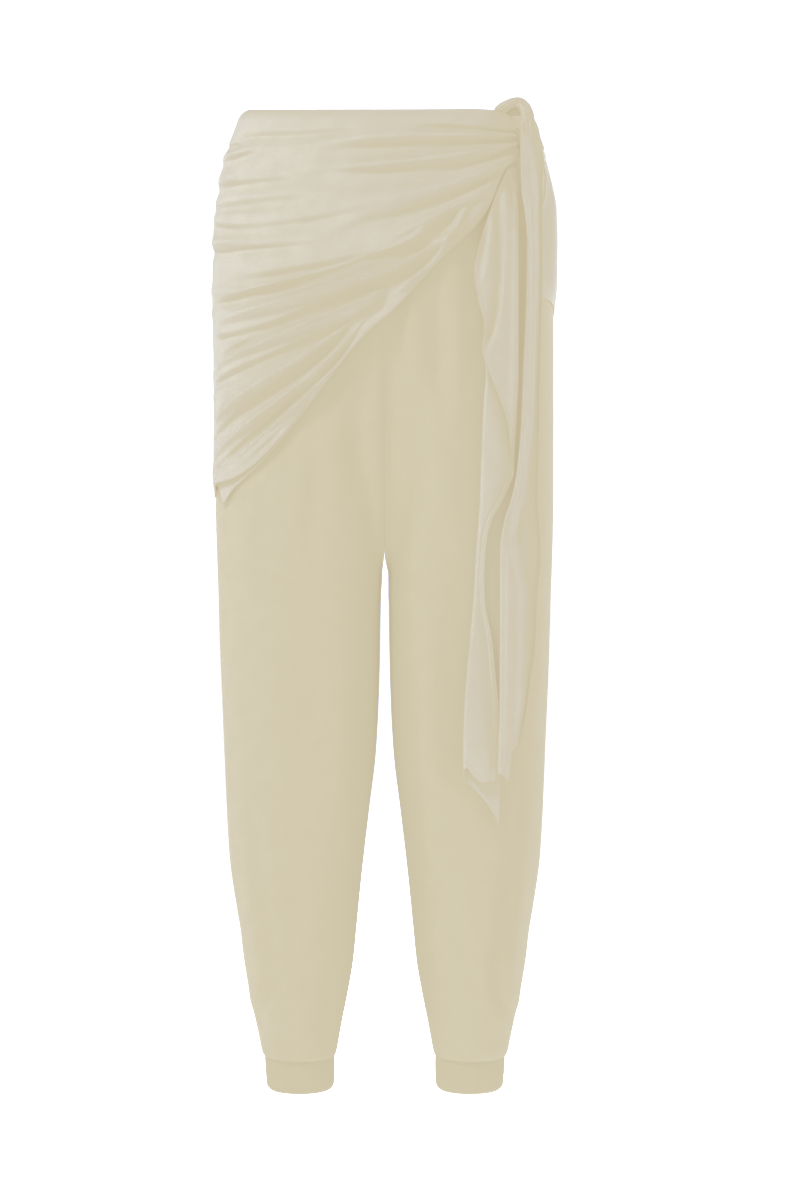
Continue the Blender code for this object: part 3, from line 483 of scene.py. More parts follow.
def wrap_relief(turn, drop):
    """The height of all folds over the wrap's even surface."""
    total = np.zeros(np.broadcast(turn, drop).shape)
    for row in WRAP_FOLDS:
        knot = KNOT_FRONT if row[0] > -112 else KNOT_BACK
        total = total + line_relief(row, turn, drop, TURN_STEP, knot)
    near = from_knot(turn, drop, KNOT_FRONT)
    total = total + ripple(turn * TURN_STEP, drop, 0.6) * 0.5 * unit(near / 90)
    facing = unit(np.abs(np.cos(np.radians(turn))) * 2.2)
    strength = FOLD_SIDE + (FOLD_FRONT - FOLD_SIDE) * facing
    room = KNOT_ROOM * unit((110 - near) / 60) * unit(near / 12)
    rise = total * strength + WRAP_BASE + 1.6 * facing + room
    return 0.5 * (rise + np.sqrt(rise**2 + 0.8)) - room


# How the wrap lifts off the body towards the knot: distance from the knot, lift.
FRONT_LIFT = ((0, 16.0), (18, 16.0), (40, 14.5), (80, 6.5), (140, 1.6), (220, 0.0))
BACK_LIFT = ((0, 3.0), (30, 4.5), (80, 3.0), (160, 0.0), (220, 0.0))


def under_ledge(turn, drop):
    """How far the wrap is held off by its lower layer, which shows under its front hem."""
    edge = smooth(WRAP_HEM, 1, turn)
    near = unit((drop - edge + 26) / 9)
    return 1.9 * near * unit((turn + 76) / 8) * unit((-12 - turn) / 8)


def hem_slant(turn):
    """How much longer a distance straight down is than one square to the hem."""
    slope = (smooth(WRAP_HEM, 1, turn + 1) - smooth(WRAP_HEM, 1, turn - 1)) / (2 * TURN_STEP)
    return np.sqrt(1 + slope**2)


def hem_distance(turn, drop):
    """The distance of the wrap's points from its hem, measured square to it."""
    return (smooth(WRAP_HEM, 1, turn) - drop) / hem_slant(turn)


def edge_shape(away, band):
    """The profile of a turned hem: a fuller band, its sewn line, and a rolled edge."""
    step = unit((band + 1.5 - away) / 3)
    sewn = -0.45 * hump((away - band) / 1.1)
    roll = -1.3 * unit(1 - away / 2.2) ** 2
    return 0.5 * eased(step) + sewn + roll


# The front stretch's end at the knot: drop and turn.
FRONT_EDGE = ((0, 58.5), (17, 58.5), (22, 54.8), (34, 53.6), (42, 52.5), (52, 51.0))
HEM_BAND = 15.0
# The turn where the wrap rounds the wearer's right hip, and how far its cloth is drawn in there.
RIGHT_HIP = -66
DRAWN_IN = 0.45
# The deepest trough, how far the wrap stands clear in front and behind, and where it is drawn right in.
DEEPEST = -3.0
WRAP_CLEAR = 1.6
CLOSEST = 1.3


def wrap_point(turn, drop, depth=0.0):
    """Points of the wrap's outer side, or of its inner side when depth is the wall."""
    clear = WRAP_CLEAR * unit(np.abs(np.cos(np.radians(turn))) * 2.5)
    hem = hem_distance(turn, drop)
    far = from_knot(turn, drop, KNOT_FRONT)
    calm = np.clip(hem / 7, 0.5, 1)
    rise = WRAP_BASE + (wrap_relief(turn, drop) - WRAP_BASE) * calm
    rise = rise + edge_shape(hem, HEM_BAND) * unit(far / 40 - 0.2)
    rim = drop - smooth(WRAP_TOP, 1, turn)
    rise = rise - 1.0 * unit(1 - rim / 2.5) ** 2
    out = np.maximum(rise, DEEPEST) + WRAP_OUT - 1.2 + clear + under_ledge(turn, drop)
    loose = unit((turn - smooth(BACK_EDGE, 1, drop)) / 14)
    loose = np.maximum(eased(loose), unit((50 - drop) / 12))
    low = unit((RIGHT_HIP - turn) / 10) * (1 - np.clip(hem / 20, 0.1, 1))
    side = unit((RIGHT_HIP - turn) / 12) * unit((turn + 125) / 12)
    low = np.maximum(low, DRAWN_IN * unit((drop - 190) / 40) * side)
    loose = np.where(turn < -200, loose, 1.0) * (1 - low)
    out = CLOSEST + (out - CLOSEST) * loose
    point = torso(turn, drop, cover(turn, drop) + out - depth)
    point[..., 1] -= smooth(FRONT_LIFT, 1, far) * (1 - 0.35 * np.exp(-hem / 7))
    point[..., 1] += 9.0 * unit((turn - 51.5) / 6) ** 2
    back = smooth(BACK_LIFT, 1, from_knot(turn, drop, KNOT_BACK)) * loose
    point[..., 1] -= back * 0.8
    point[..., 0] += back * 0.6
    return point


def wrap_level(turn, share):
    """The drop at a share of the way from the wrap's upper edge to its hem."""
    return smooth(WRAP_TOP, 1, turn) * (1 - share) + smooth(WRAP_HEM, 1, turn) * share


def wrap_grid(first, last, rows, columns, depth):
    """The wrap between two turns, its rows fanning out. Its end at the knot is pulled to that edge."""
    turns = np.linspace(first, last, columns)[None]
    share = np.linspace(0, 1, rows)[:, None]
    share = share - 0.02 * np.sin(2 * math.pi * share)
    edge, end, held = (FRONT_EDGE, last, 40) if last > 0 else (BACK_EDGE, first, -235)
    pulled = unit((turns - held) / (end - held)) ** 2
    turns = turns + (smooth(edge, 1, wrap_level(turns, share)) - end) * pulled
    drop = wrap_level(turns, share)
    return wrap_point(np.broadcast_to(turns, drop.shape), drop, depth)


def normals(grid):
    """The unit normals of a grid of points."""
    n = np.cross(np.gradient(grid, axis=1), np.gradient(grid, axis=0))
    return n / np.maximum(np.linalg.norm(n, axis=-1, keepdims=True), 1e-9)


def cloth_lengths(grid):
    """How far each point lies along the cloth, across and down, in millimetres."""
    across = np.linalg.norm(np.diff(grid, axis=1), axis=-1)
    across = np.concatenate([np.zeros((len(grid), 1)), np.cumsum(across, 1)], 1)
    down = np.linalg.norm(np.diff(grid, axis=0), axis=-1)
    down = np.concatenate([np.zeros((1, grid.shape[1])), np.cumsum(down, 0)], 0)
    return np.stack([across, down, np.zeros(grid.shape[:2])], -1)


def add_mesh(name, points, faces, made, cloth):
    """A mesh object from points in millimetres, its faces turned outwards."""
    points = np.asarray(points, float) * MM
    faces = np.asarray(faces)
    a, b, c, d = (points[faces[:, k]] for k in range(4))
    volume = (a * np.cross(b, c)).sum() + (a * np.cross(c, d)).sum()
    if volume < 0:
        faces = faces[:, ::-1]
    mesh = bpy.data.meshes.new(name)
    mesh.from_pydata(points.tolist(), [], faces.tolist())
    mesh.update()
    mesh.polygons.foreach_set("use_smooth", [True] * len(mesh.polygons))
    mesh.set_sharp_from_angle(angle=math.radians(50))
    held = mesh.attributes.new("cloth", "FLOAT_VECTOR", "POINT")
    held.data.foreach_set("vector", np.asarray(cloth, float).ravel())
    mesh.materials.append(made)
    item = bpy.data.objects.new(name, mesh)
    bpy.context.scene.collection.objects.link(item)
    return item


def walled(name, outer, inner, made, cyclic=False):
    """A wall between two grids of points, closed along its edges."""
    rows, columns = outer.shape[:2]
    count = rows * columns
    points = np.concatenate([outer.reshape(-1, 3), inner.reshape(-1, 3)])
    cloth = cloth_lengths(outer).reshape(-1, 3)
    i, j = np.meshgrid(np.arange(rows - 1), np.arange(columns if cyclic else columns - 1), indexing="ij")
    i, j = i.ravel(), j.ravel()
    k = (j + 1) % columns
    front = np.stack([i * columns + j, i * columns + k, (i + 1) * columns + k, (i + 1) * columns + j], 1)
    faces = [front, front[:, ::-1] + count]
    j = np.arange(columns if cyclic else columns - 1)
    k = (j + 1) % columns
    faces.append(np.stack([j + count, k + count, k, j], 1))
    end = (rows - 1) * columns
    faces.append(np.stack([end + j, end + k, end + k + count, end + j + count], 1))
    if not cyclic:
        i = np.arange(rows - 1) * columns
        faces.append(np.stack([i, i + columns, i + columns + count, i + count], 1))
        i = i + columns - 1
        faces.append(np.stack([i + count, i + columns + count, i + columns, i], 1))
    return add_mesh(name, points, np.concatenate(faces), made, np.concatenate([cloth, cloth]))


# The soft folds of the legs in front: x and drop at the top, halfway and at the end, widths, height.
# x is positive on the wearer's left, and each fold belongs to the leg that it lies on.
LEG_FRONT = (
    (16, 150, 27, 235, 52, 345, 13, 11, 2.8),
    (53, 140, 53, 220, 58, 310, 6, 6, -1.8),
    (70, 120, 71, 210, 70, 310, 9, 9, 2),
    (88, 110, 88, 170, 90, 230, 8, 8, 1.6),
    (30, 250, 38, 330, 44, 420, 8, 8, -1.4),
    (36, 470, 42, 690, 45, 900, 14, 14, 2),
    (66, 420, 70, 560, 74, 700, 16, 16, -1.4),
    (92, 380, 97, 520, 100, 640, 18, 18, 1.2),
    (-34, 262, -42, 310, -54, 352, 12, 11, 2.6),
    (-20, 250, -24, 330, -34, 400, 8, 8, -1.4),
    (-84, 310, -82, 370, -94, 430, 9, 9, 1.8),
    (-68, 330, -66, 400, -70, 470, 9, 9, -1.2),
    (-128, 372, -130, 400, -132, 450, 10, 9, 1.6),
    (-112, 372, -112, 420, -116, 480, 8, 8, -1.4),
    (-36, 480, -42, 690, -45, 900, 14, 14, 2),
    (-68, 520, -72, 620, -78, 720, 18, 18, -1.2),
    (-98, 470, -104, 570, -108, 660, 18, 18, 1.2),
)
LEG_BACK = (
    (30, 300, 38, 400, 52, 520, 14, 12, 2.4),
    (62, 280, 66, 380, 72, 500, 9, 9, -1.6),
    (92, 250, 96, 360, 104, 480, 12, 12, 1.8),
    (120, 300, 124, 420, 128, 560, 10, 10, -1.4),
    (40, 520, 46, 700, 52, 900, 14, 14, 2),
    (-26, 320, -34, 420, -50, 540, 14, 12, 2.4),
    (-58, 300, -64, 400, -72, 520, 9, 9, -1.6),
    (-90, 290, -98, 380, -104, 500, 12, 12, 1.8),
    (-122, 330, -126, 430, -128, 560, 10, 10, -1.4),
    (-42, 540, -48, 700, -54, 900, 14, 14, 2),
)

# The balloon of the lower leg over its ankle: drop and x down its outer crease, where the crease ends,
# then how far the crease and the swells beside it lie from that line, their widths and heights.
LEG_CREASE = ((660, 133), (770, 120), (830, 113), (858, 110), (886, 117), (904, 125))
CREASE_TOP = 640
CREASE_END = 916
CREASE_PROFILE = ((0, 6.5, -3.2), (13, 8, 1.6), (-12, 8, 1.4))

# The small gathers above the cuff: the drop they start at, then their pace, start and height.
GATHER_TOP = 905
ANKLE_GATHERS = ((0.52, 0.8, 0.35), (0.91, 2.0, 0.2))

# The crease down the centre in front and behind: its distance from the seam, depth and widths.
CENTRE_ASIDE = 6.0
CENTRE_DEEP = 6.0
CENTRE_WIDTHS = (8.0, 18.0)


def clear_of_wrap(x, drop, back, right):
    """0 where the wrap covers the leg, 1 well below its hem."""
    share = unit(x / smooth(BODY, 1, drop))
    turn = np.degrees(np.arcsin(share ** (FORM_POWER / 2)))
    if back:
        turn = turn - 180 if right else -180 - turn
    else:
        turn = -turn if right else turn
    below = drop - smooth(WRAP_HEM, 1, np.where(turn > 57, turn - 360, turn))
    return eased(unit((below + 12) / 40))


def leg_relief(x, drop, back, right):
    """The height of the soft folds of a leg. x is measured from the centre, on either leg."""
    signed = -x if right else x
    total = ripple(signed, drop, 2.0 if back else 0.3) * 0.4
    for row in LEG_BACK if back else LEG_FRONT:
        if (row[0] < 0) == right:
            total = total + line_relief(row, signed, drop, ends=(0.35, 0.4))
    line = np.interp(drop, *zip(*LEG_CREASE))
    fade = unit((drop - CREASE_TOP) / 150) * unit((CREASE_END - drop) / 30)
    for aside, width, high in CREASE_PROFILE:
        total = total + high * fade * hump((x - line - aside) / width)
    gather = unit((drop - GATHER_TOP) / (CUFF_TOP - GATHER_TOP)) ** 2
    total = total + gather * sum(high * np.sin(x * pace + start) for pace, start, high in ANKLE_GATHERS)
    return total * clear_of_wrap(x, drop, back, right)


LEG_TOP = 38.3
KNEE = 700
LEG_DROPS = np.concatenate(
    [np.linspace(LEG_TOP, KNEE, 112, endpoint=False), np.linspace(KNEE, CUFF_TOP, 76)]
)


def leg_grids(drops, columns, back, right):
    """The outer and inner grids of a quarter of the trousers."""
    shares = np.linspace(0, 1, columns)
    grid = []
    for drop in drops:
        x, y = leg_section(drop, shares, back)
        grid.append(np.stack([x, y, height(drop, y)], -1))
    plain = np.array(grid)
    out = normals(plain)
    if out[len(drops) // 2, columns // 2, 1] * (1 if back else -1) < 0:
        out = -out
    levels = np.broadcast_to(np.array(drops, float)[:, None], plain.shape[:2])
    edge = eased(np.minimum(np.minimum(shares, 1 - shares) * 9, 1))
    along = cloth_lengths(plain)[..., 0]
    seam = np.minimum(along, along[:, -1:] - along)
    sewn = -0.25 * hump(seam / 1.2) + 0.12 * hump((seam - 4.5) / 2.5)
    below = unit((levels[:, :1] - drops[-1] + 3) / 3) ** 2
    rise = leg_relief(plain[..., 0], levels, back, right) * edge[None] + sewn + 0.5 - 0.5 * below
    centre = unit((levels - 150) / 60) * unit((480 - levels) / 60)
    past = plain[..., 0] * (-1 if right else 1) - CENTRE_ASIDE
    rise = rise - CENTRE_DEEP * centre * hump(past / np.where(past < 0, *CENTRE_WIDTHS))
    outer = plain + out * rise[..., None]
    inner = outer - out * CLOTH
    inner[-1, :, 2] = outer[-1, :, 2]
    inner[0, :, 2] = outer[0, :, 2]
    side = smooth(BODY, 4, np.array(drops, float))[:, None]
    for part in (outer, inner):
        part[..., 0] = np.maximum(part[..., 0], SEAM_GAP / 2)
        if back:
            part[..., 1] = np.maximum(part[..., 1], side + SEAM_GAP / 2)
        else:
            part[..., 1] = np.minimum(part[..., 1], side - SEAM_GAP / 2)
        if right:
            part[..., 0] *= -1
    return outer, inner


BAND_TOP = 3.0
BAND_RUFFLES = 92
BAND_ROWS = (11, 20, 29)
# How far its two sides lie from the form round both legs.
BAND_OUTER = -0.6
BAND_INNER = -2.2


def waistband(columns):
    """The elastic waistband inside the wrap's rim, with its even ruffles and its sewn rows."""
    levels = np.linspace(BAND_TOP + 0.6, BAND_DEPTH - 0.6, 22)
    turns = np.linspace(-180, 180, columns, endpoint=False)
    outer, inner = [], []
    for drop in (BAND_TOP, *levels, BAND_DEPTH):
        end = unit(min(drop - BAND_TOP, BAND_DEPTH - drop) / 1.5)
        ruffle = 0.5 * np.sin(np.radians(turns) * BAND_RUFFLES) * end
        rows = sum(-0.5 * hump((drop - line) / 0.9) for line in BAND_ROWS)
        round_edge = -0.8 * (1 - end) ** 2
        outer.append(torso(turns, drop, BAND_OUTER + ruffle * 0.5 + rows + round_edge))
        inner.append(torso(turns, drop, BAND_INNER + ruffle * 0.8 - rows - round_edge))
    return np.array(outer), np.array(inner)


# A cuff: how far it stands out at each distance below its top, then its size, roundness and ribs.
CUFF_ROWS = ((0.1, -0.5), (1.2, -0.2), (3, 0.3), (16, 0.8), (28, 0.6), (31.5, -0.4), (33.3, -2.2))
CUFF_DEPTH = 33.3
CUFF_HALF_DEEP = 36.5
CUFF_BACK = 12
CUFF_POWER = 2.1
CUFF_RIBS = 88


def cuff_grids(columns, right):
    """The outer and inner grids of a ribbed cuff."""
    a = np.linspace(0, 2 * math.pi, columns, endpoint=False)
    outer, inner = [], []
    for low in np.linspace(SEAM_GAP, CUFF_DEPTH, 28):
        out = float(smooth(CUFF_ROWS, 1, low))
        level = CUFF_TOP + low
        half = float(smooth(BODY, 1, level))
        gap = float(smooth(GAP, 1, level))
        wide, middle = (half - gap) / 2, (half + gap) / 2
        end = min(low / 4, (CUFF_DEPTH - low) / 4, 1.0)
        rib = 0.22 * np.cos(a * CUFF_RIBS) * max(end, 0.0)
        for made, away in ((outer, out + rib), (inner, min(out, 0.2) * 0.2 - 1.9 + rib * 0.5)):
            x = middle + (wide + away) * rounded(np.cos(a), CUFF_POWER)
            y = CUFF_BACK + (CUFF_HALF_DEEP + away) * rounded(np.sin(a), CUFF_POWER)
            z = np.full(len(a), -level)
            made.append(np.stack([-x if right else x, y, z], -1))
    return np.array(outer), np.array(inner)


# A hanging end of the wrap is a strip folded on itself. Each row gives, as seen from the front, the drop
# and the x of its lines, then how far its back layer stands off the leg and the radius of its folds.
# front end: drop, free hem, right turn, left fold, far edge, standing off, radius
FRONT_TAIL = (
    (50, 125.5, 132.5, 120.5, 131.5, 6.4, 1.5),
    (62, 121.3, 132.8, 117.5, 132, 6, 1.5),
    (80, 113, 133.2, 111.5, 132.5, 5.2, 1.6),
    (95, 107.3, 133.3, 108, 133, 4.6, 2),
    (140, 93.3, 133.3, 103, 134, 4.3, 3.1),
    (162, 89.3, 133.3, 102, 134, 5, 3.3),
    (190, 93.3, 133.3, 101, 134, 5.5, 3.4),
    (215, 99.3, 133.3, 100.8, 134, 6, 3.4),
    (238, 97.3, 133.3, 101.5, 134, 6.5, 3.4),
    (265, 105.3, 133.3, 101.3, 134, 7, 3.4),
    (290, 115.3, 132.3, 99.3, 133, 7.5, 3.4),
    (315, 123.3, 131, 97.9, 133, 8, 3.4),
    (345, 127.3, 129.3, 96.8, 132, 8, 3.4),
    (390, 118.3, 128, 95.3, 130, 8, 3.4),
    (410, 107.3, 127, 94, 129, 8, 3.4),
    (430, 102.3, 126, 92.3, 128, 8, 3.4),
    (460, 99.8, 125, 90.4, 126, 8, 3.4),
    (490, 100.3, 124, 88.8, 124, 8, 3.4),
    (530, 107.3, 123, 85.3, 122, 8, 3.4),
    (570, 111.3, 122, 81.8, 121, 8, 3.4),
    (600, 114, 122, 79.6, 120, 8, 3.4),
    (650, 113.5, 122, 78.3, 118, 8, 3.4),
    (673, 110, 122, 80.3, 116, 8, 3.4),
    (720, 108, 121, 90, 114, 8, 3.4),
)
# Above this drop the front end's free hem lies past its right turn, and below it the end is open.
FRONT_TAIL_OPENS = 360.0
# The drop of the front end's upper edge, of its back layer's tip, how much that layer's edge rises to the
# left fold, and the drop of its front layer's lower edge.
FRONT_TOP = 50.0
FRONT_TIP = 719.0
FRONT_SLANT = 46.0
FRONT_FOOT = 658.0

# side end: drop, free edge, right edge, left fold, standing off, radius, degrees of curl
SIDE_TAIL = (
    (5, 144.6, 149, 138, 39.6, 1.3, 30),
    (12, 146.2, 151.8, 137, 38.2, 1.9, 45),
    (20, 146.5, 154.2, 136.4, 34.2, 2.2, 60),
    (35, 146.5, 156.3, 136, 29.4, 2.2, 70),
    (50, 146.5, 158.4, 136.2, 24.2, 2.3, 80),
    (80, 147.5, 157.4, 137.3, 16.6, 2.5, 90),
    (105, 149.5, 157.6, 140.8, 14, 2.7, 90),
    (135, 151.5, 157.6, 142.8, 12, 2.8, 90),
    (190, 151.5, 157.2, 141.8, 12, 2.8, 90),
    (260, 150.5, 155.6, 138.8, 14, 2.8, 90),
    (310, 149, 154.6, 137, 16, 2.8, 90),
    (350, 142.5, 154, 133.8, 18, 2.8, 95),
    (370, 138.5, 153.6, 131.2, 18.5, 2.8, 100),
    (390, 136, 153.4, 126.6, 19, 2.8, 105),
    (412, 134.8, 155, 119.6, 19, 2.8, 110),
    (440, 134.3, 156.5, 115.6, 19, 2.8, 110),
    (490, 134.3, 152.8, 115.4, 19, 2.8, 110),
    (540, 134.3, 150.4, 115.4, 19, 2.8, 110),
    (570, 133, 146, 115.3, 19, 2.8, 110),
    (590, 132.3, 143.6, 115.3, 19, 2.8, 110),
    (630, 128.5, 136.5, 114.2, 19, 2.8, 90),
    (675, 123.5, 130, 113.2, 19, 2.8, 60),
)
CURL_RADIUS = 3.2
# The x where the side end bends back against the hip near its top, and how steeply it does.
SIDE_BEND = 146.0
SIDE_BACK = 0.9
# The drop of the side end's upper edge, and of its lower one at the curl and at the left fold.
SIDE_TOP = 5.0
SIDE_FOOT = 634.0
SIDE_FOLD_FOOT = 664.0
# The depth and furthest drop at which a hanging end rests on the leg, and the x past which it bends round.
REST_DEPTH = -90.0
REST_DROP = 300.0
REST_SIDE = 134.0


def tail_rest(x, drop):
    """The depth that a hanging end lies at: down the hip, then nearly straight down."""
    x, z = placed(x, drop, REST_DEPTH)
    drop = -z
    level, held = np.minimum(drop, REST_DROP), np.minimum(x, REST_SIDE)
    near, far, low = front_depth(held, level), front_depth(x, level), front_depth(held, drop)
    return np.minimum(near + 0.55 * (far - near) + 0.35 * (low - near), front_depth(x, drop) - 0.5)


def folded(place, right, left, radius, off):
    """Where a strip folded at a left line and a right line lies, at a distance past its left fold."""
    middle = right - left - 2 * radius
    back = np.clip(-place / radius, 0, math.pi)
    past = np.maximum(-place - math.pi * radius, 0)
    ahead = np.clip(place, 0, np.maximum(middle, 0))
    front = np.clip((place - middle) / radius, 0, math.pi)
    beyond = np.maximum(place - middle - math.pi * radius, 0)
    x = left + radius - radius * np.sin(back) + past + ahead + radius * np.sin(front) - beyond
    out = off + radius + radius * np.cos(back) + radius * (1 - np.cos(front))
    lean = np.where(place < 0, -back, front)
    return x, out, lean


def seen_grid(x, drop, out):
    """Points in space of a strip's points as seen from the front."""
    y = tail_rest(x, drop) - out
    px, pz = placed(x, drop, y)
    return np.stack([px, y, pz], -1)


# The folds of the hanging ends as seen in front: x and drop at the start, middle and end, widths, height.
FRONT_TAIL_FOLDS = (
    (112, 82, 113.5, 175, 100, 236, 4.2, 4.2, -5.4),
    (112, 190, 110, 210, 99, 240, 5, 5, -1.6),
    (108, 92, 105, 140, 96, 176, 3.6, 3.6, 2.2),
    (102, 92, 100, 122, 95, 156, 3.2, 3.2, -2.2),
    (121, 74, 122, 100, 124, 150, 4.5, 4.5, 2),
    (132, 90, 132, 200, 129, 330, 10, 6, 3),
    (123, 60, 127, 80, 130, 98, 2.2, 2.2, -1.8),
    (116, 66, 112, 84, 108, 104, 2.2, 2.2, -1.4),
    (104, 250, 107, 280, 118, 340, 6, 6, 1.4),
    (88, 470, 84, 560, 80, 650, 9, 8, 1.2),
    (101, 480, 104, 560, 108, 640, 5, 5, -1),
)
SIDE_TAIL_FOLDS = (
    (141, 30, 142, 120, 143, 200, 2.5, 2.5, 0.9),
    (146, 20, 146, 110, 148, 200, 2.5, 2.5, -1.2),
    (145, 200, 141, 300, 137, 400, 2.5, 2.5, 0.8),
    (126, 380, 124, 480, 122, 640, 4, 4, 1.4),
)


def seen_relief(table, x, drop):
    """The height of a hanging end's folds."""
    total = np.zeros(np.broadcast(x, drop).shape)
    for row in table:
        total = total + line_relief(row, x, drop, ends=(0.3, 0.35))
    return total


def layers(counts):
    """The columns of a folded strip, where each of its layers starts, and their shares along each."""
    column = np.arange(sum(counts) + 1, dtype=float)[None]
    starts = np.cumsum((0, *counts))
    return column, starts, [unit((column - start) / count) for start, count in zip(starts, counts)]


def strip_place(column, starts, shares, length, reach, radius):
    """How far past its left fold a strip's columns lie: its back layer, the fold, then its front."""
    in_back, in_turn, in_rest = shares
    place = -math.pi * radius - length * (1 - in_back)
    place = np.where(column > starts[0], -math.pi * radius * (1 - in_turn), place)
    return np.where(column > starts[1], reach * in_rest, place)


def strip_side(x, drop, out, lean, side, rolled):
    """One side of a strip's wall, which is fuller where its hem is rolled."""
    half = side * CLOTH / 2 * (1 + 0.7 * rolled)
    return seen_grid(x + half * np.sin(lean), drop, out + half * np.cos(lean))


def front_tail_grid(rows, counts, side):
    """The front end, one side of its wall. counts: columns of its back layer, its left fold and the rest."""
    column, starts, shares = layers(counts)
    in_back, in_turn, in_rest = shares
    share = np.linspace(0, 1, rows)[:, None]
    low_back = FRONT_TIP - FRONT_SLANT * in_back**0.8
    swell = 15.0 * np.sin(1.571 * unit(in_rest / 0.55))
    low_rest = FRONT_FOOT + swell - 5.0 * unit(in_rest - 0.55)
    mix = eased(in_turn)
    low = low_back * (1 - mix) + low_rest * mix
    top = FRONT_TOP + 9.0 * in_rest
    drop = top + (low - top) * share
    levels, free, right, left, edge, off, radius = np.array(FRONT_TAIL).T
    far = (right - left - 2 * radius) + math.pi * radius + right - radius - free
    reach = np.where(levels < FRONT_TAIL_OPENS, far, free - left - radius)
    hem = smooth(np.stack([levels, reach], 1), 1, drop)
    right, left, edge, off, radius = (smooth(FRONT_TAIL, k, drop) for k in range(2, 7))
    length = np.maximum(edge - left - radius, 2.0)
    place = strip_place(column, starts[1:], shares, length, hem, radius)
    x, out, lean = folded(place, right, left, radius, off)
    past_turn = unit((place - (right - left - 2 * radius)) / (math.pi * radius))
    opened = unit((drop - FRONT_TAIL_OPENS + 30) / 60)
    showing = np.where(place > 0, np.maximum(past_turn, opened), 0.0)
    away, bottom = hem * (1 - in_rest), low - drop
    out = out + seen_relief(FRONT_TAIL_FOLDS, x, drop) * showing * np.clip(away / 6, 0.2, 1)
    finish = -0.35 * hump((away - 5.2) / 0.9) - 0.35 * hump((bottom - 8) / 0.9)
    out = out + finish * (place > 0)
    return strip_side(x, drop, out, lean, side, hump(away / 1.6) * (column > starts[2]))


def side_tail_grid(rows, counts, side):
    """The side end, one side of its wall. counts: columns of its curl, back layer, left fold and front."""
    column, starts, shares = layers(counts)
    in_curl, in_back, in_turn, in_rest = shares
    share = np.linspace(0, 1, rows)[:, None]
    low = SIDE_FOOT + (SIDE_FOLD_FOOT - SIDE_FOOT) * in_back
    low = np.where(column <= starts[2], low, SIDE_FOLD_FOOT + 8.0 * in_rest)
    drop = SIDE_TOP + (low - SIDE_TOP) * share
    free, right, left, off, radius, bend = (smooth(SIDE_TAIL, k, drop) for k in range(1, 7))
    start = right - CURL_RADIUS
    angle = np.radians(bend) * (1 - in_curl)
    curl_x = start + CURL_RADIUS * np.sin(angle)
    curl_out = off + CURL_RADIUS * (1 - np.cos(angle))
    length = np.maximum(start - left - radius, 1.0)
    reach = free - left - radius
    place = strip_place(column, starts[2:], shares[1:], length, reach, radius)
    x, out, lean = folded(place, 1e4, left, radius, off)
    out = out + seen_relief(SIDE_TAIL_FOLDS, x, drop) * (place > 0) * unit(place / 4)
    in_curl = column < starts[1]
    x, out = np.where(in_curl, curl_x, x), np.where(in_curl, curl_out, out)
    lean = np.where(in_curl, -math.pi - angle, lean)
    # Past this line the end lies back against the hip.
    begin = unit((drop - 80) / 35)
    begin = SIDE_BEND * (1 - begin) + (left + 2) * begin
    low_down = unit((drop - 425) / 50)
    begin = begin * (1 - low_down) + (free - 1) * low_down
    sunk = unit((drop - 8) / 25) * unit((660 - drop) / 60)
    out = out + 2.5 * sunk * unit((drop - 60) / 40) - SIDE_BACK * sunk * np.clip(x - begin, 0, 12)
    out = out - 3.0 * sunk * low_down * unit((x - free - 0.5) / 3)
    away = reach * (1 - in_rest)
    return strip_side(x, drop, out, lean, side, hump(away / 1.6) * (column > starts[3]))


# The knot's strand starts at the back stretch's end and passes behind the front one: turn, drop,
# how far its middle is from the body, its half width and half thickness.
STRAND_BEHIND = (
    (93, 41, 3.2, 13, 1.8),
    (83.2, 40, 4, 13, 2.6),
    (75, 39.5, 4.6, 10.5, 3.2),
    (65, 36.5, 4.8, 8.6, 3.6),
    (57, 29, 4.8, 8.2, 3.6),
    (51.5, 17, 5.3, 7.6, 4),
    (49.8, 6.5, 6.3, 7.2, 3.8),
)
# Then it rises over the waist and comes down in front, where its end takes in the side end. Each row:
# x and drop as seen from the front, depth, half width and half thickness.
STRAND_OVER = (
    (114.2, 3.4, -79.8, 7, 4),
    (117, -0.4, -80.8, 6.4, 4),
    (121.6, -4, -83, 5, 4.4),
    (128, -7.9, -84.5, 4.3, 4.4),
    (133.6, -8.3, -86, 4.6, 4.4),
    (139.1, -4.7, -87.4, 5.5, 4.5),
    (141.8, 1.2, -87.9, 6.8, 4.4),
    (143.8, 9, -86.9, 7.9, 3),
    (145.2, 16, -85.9, 7.4, 2),
    (146.6, 23, -85.2, 5.4, 1.3),
    (147.2, 29.5, -85, 3.5, 0.9),
)
# The gathers along the strand: where they lie across it, from -1 to 1, and their depth.
STRAND_GATHERS = ((-0.66, 0.7), (-0.24, 0.9), (0.16, 0.7), (0.50, 1.3), (0.82, 0.6))
STRAND_POWER = 2.4
# Where the strand's first ring faces, and over how many rings to each side its line is evened out.
STRAND_START = (0.96, -0.28, 0.27)
STRAND_EVEN = 6


def strand_table():
    """The strand's rows as x, depth and height of its middle, half width and half thickness."""
    rows = []
    for turn, drop, out, wide, thick in STRAND_BEHIND:
        rows.append((*torso(turn, drop, out), wide, thick))
    for x, drop, depth, wide, thick in STRAND_OVER:
        px, pz = placed(x, drop, depth)
        rows.append((float(px), depth, float(pz), wide, thick))
    return np.array(rows)


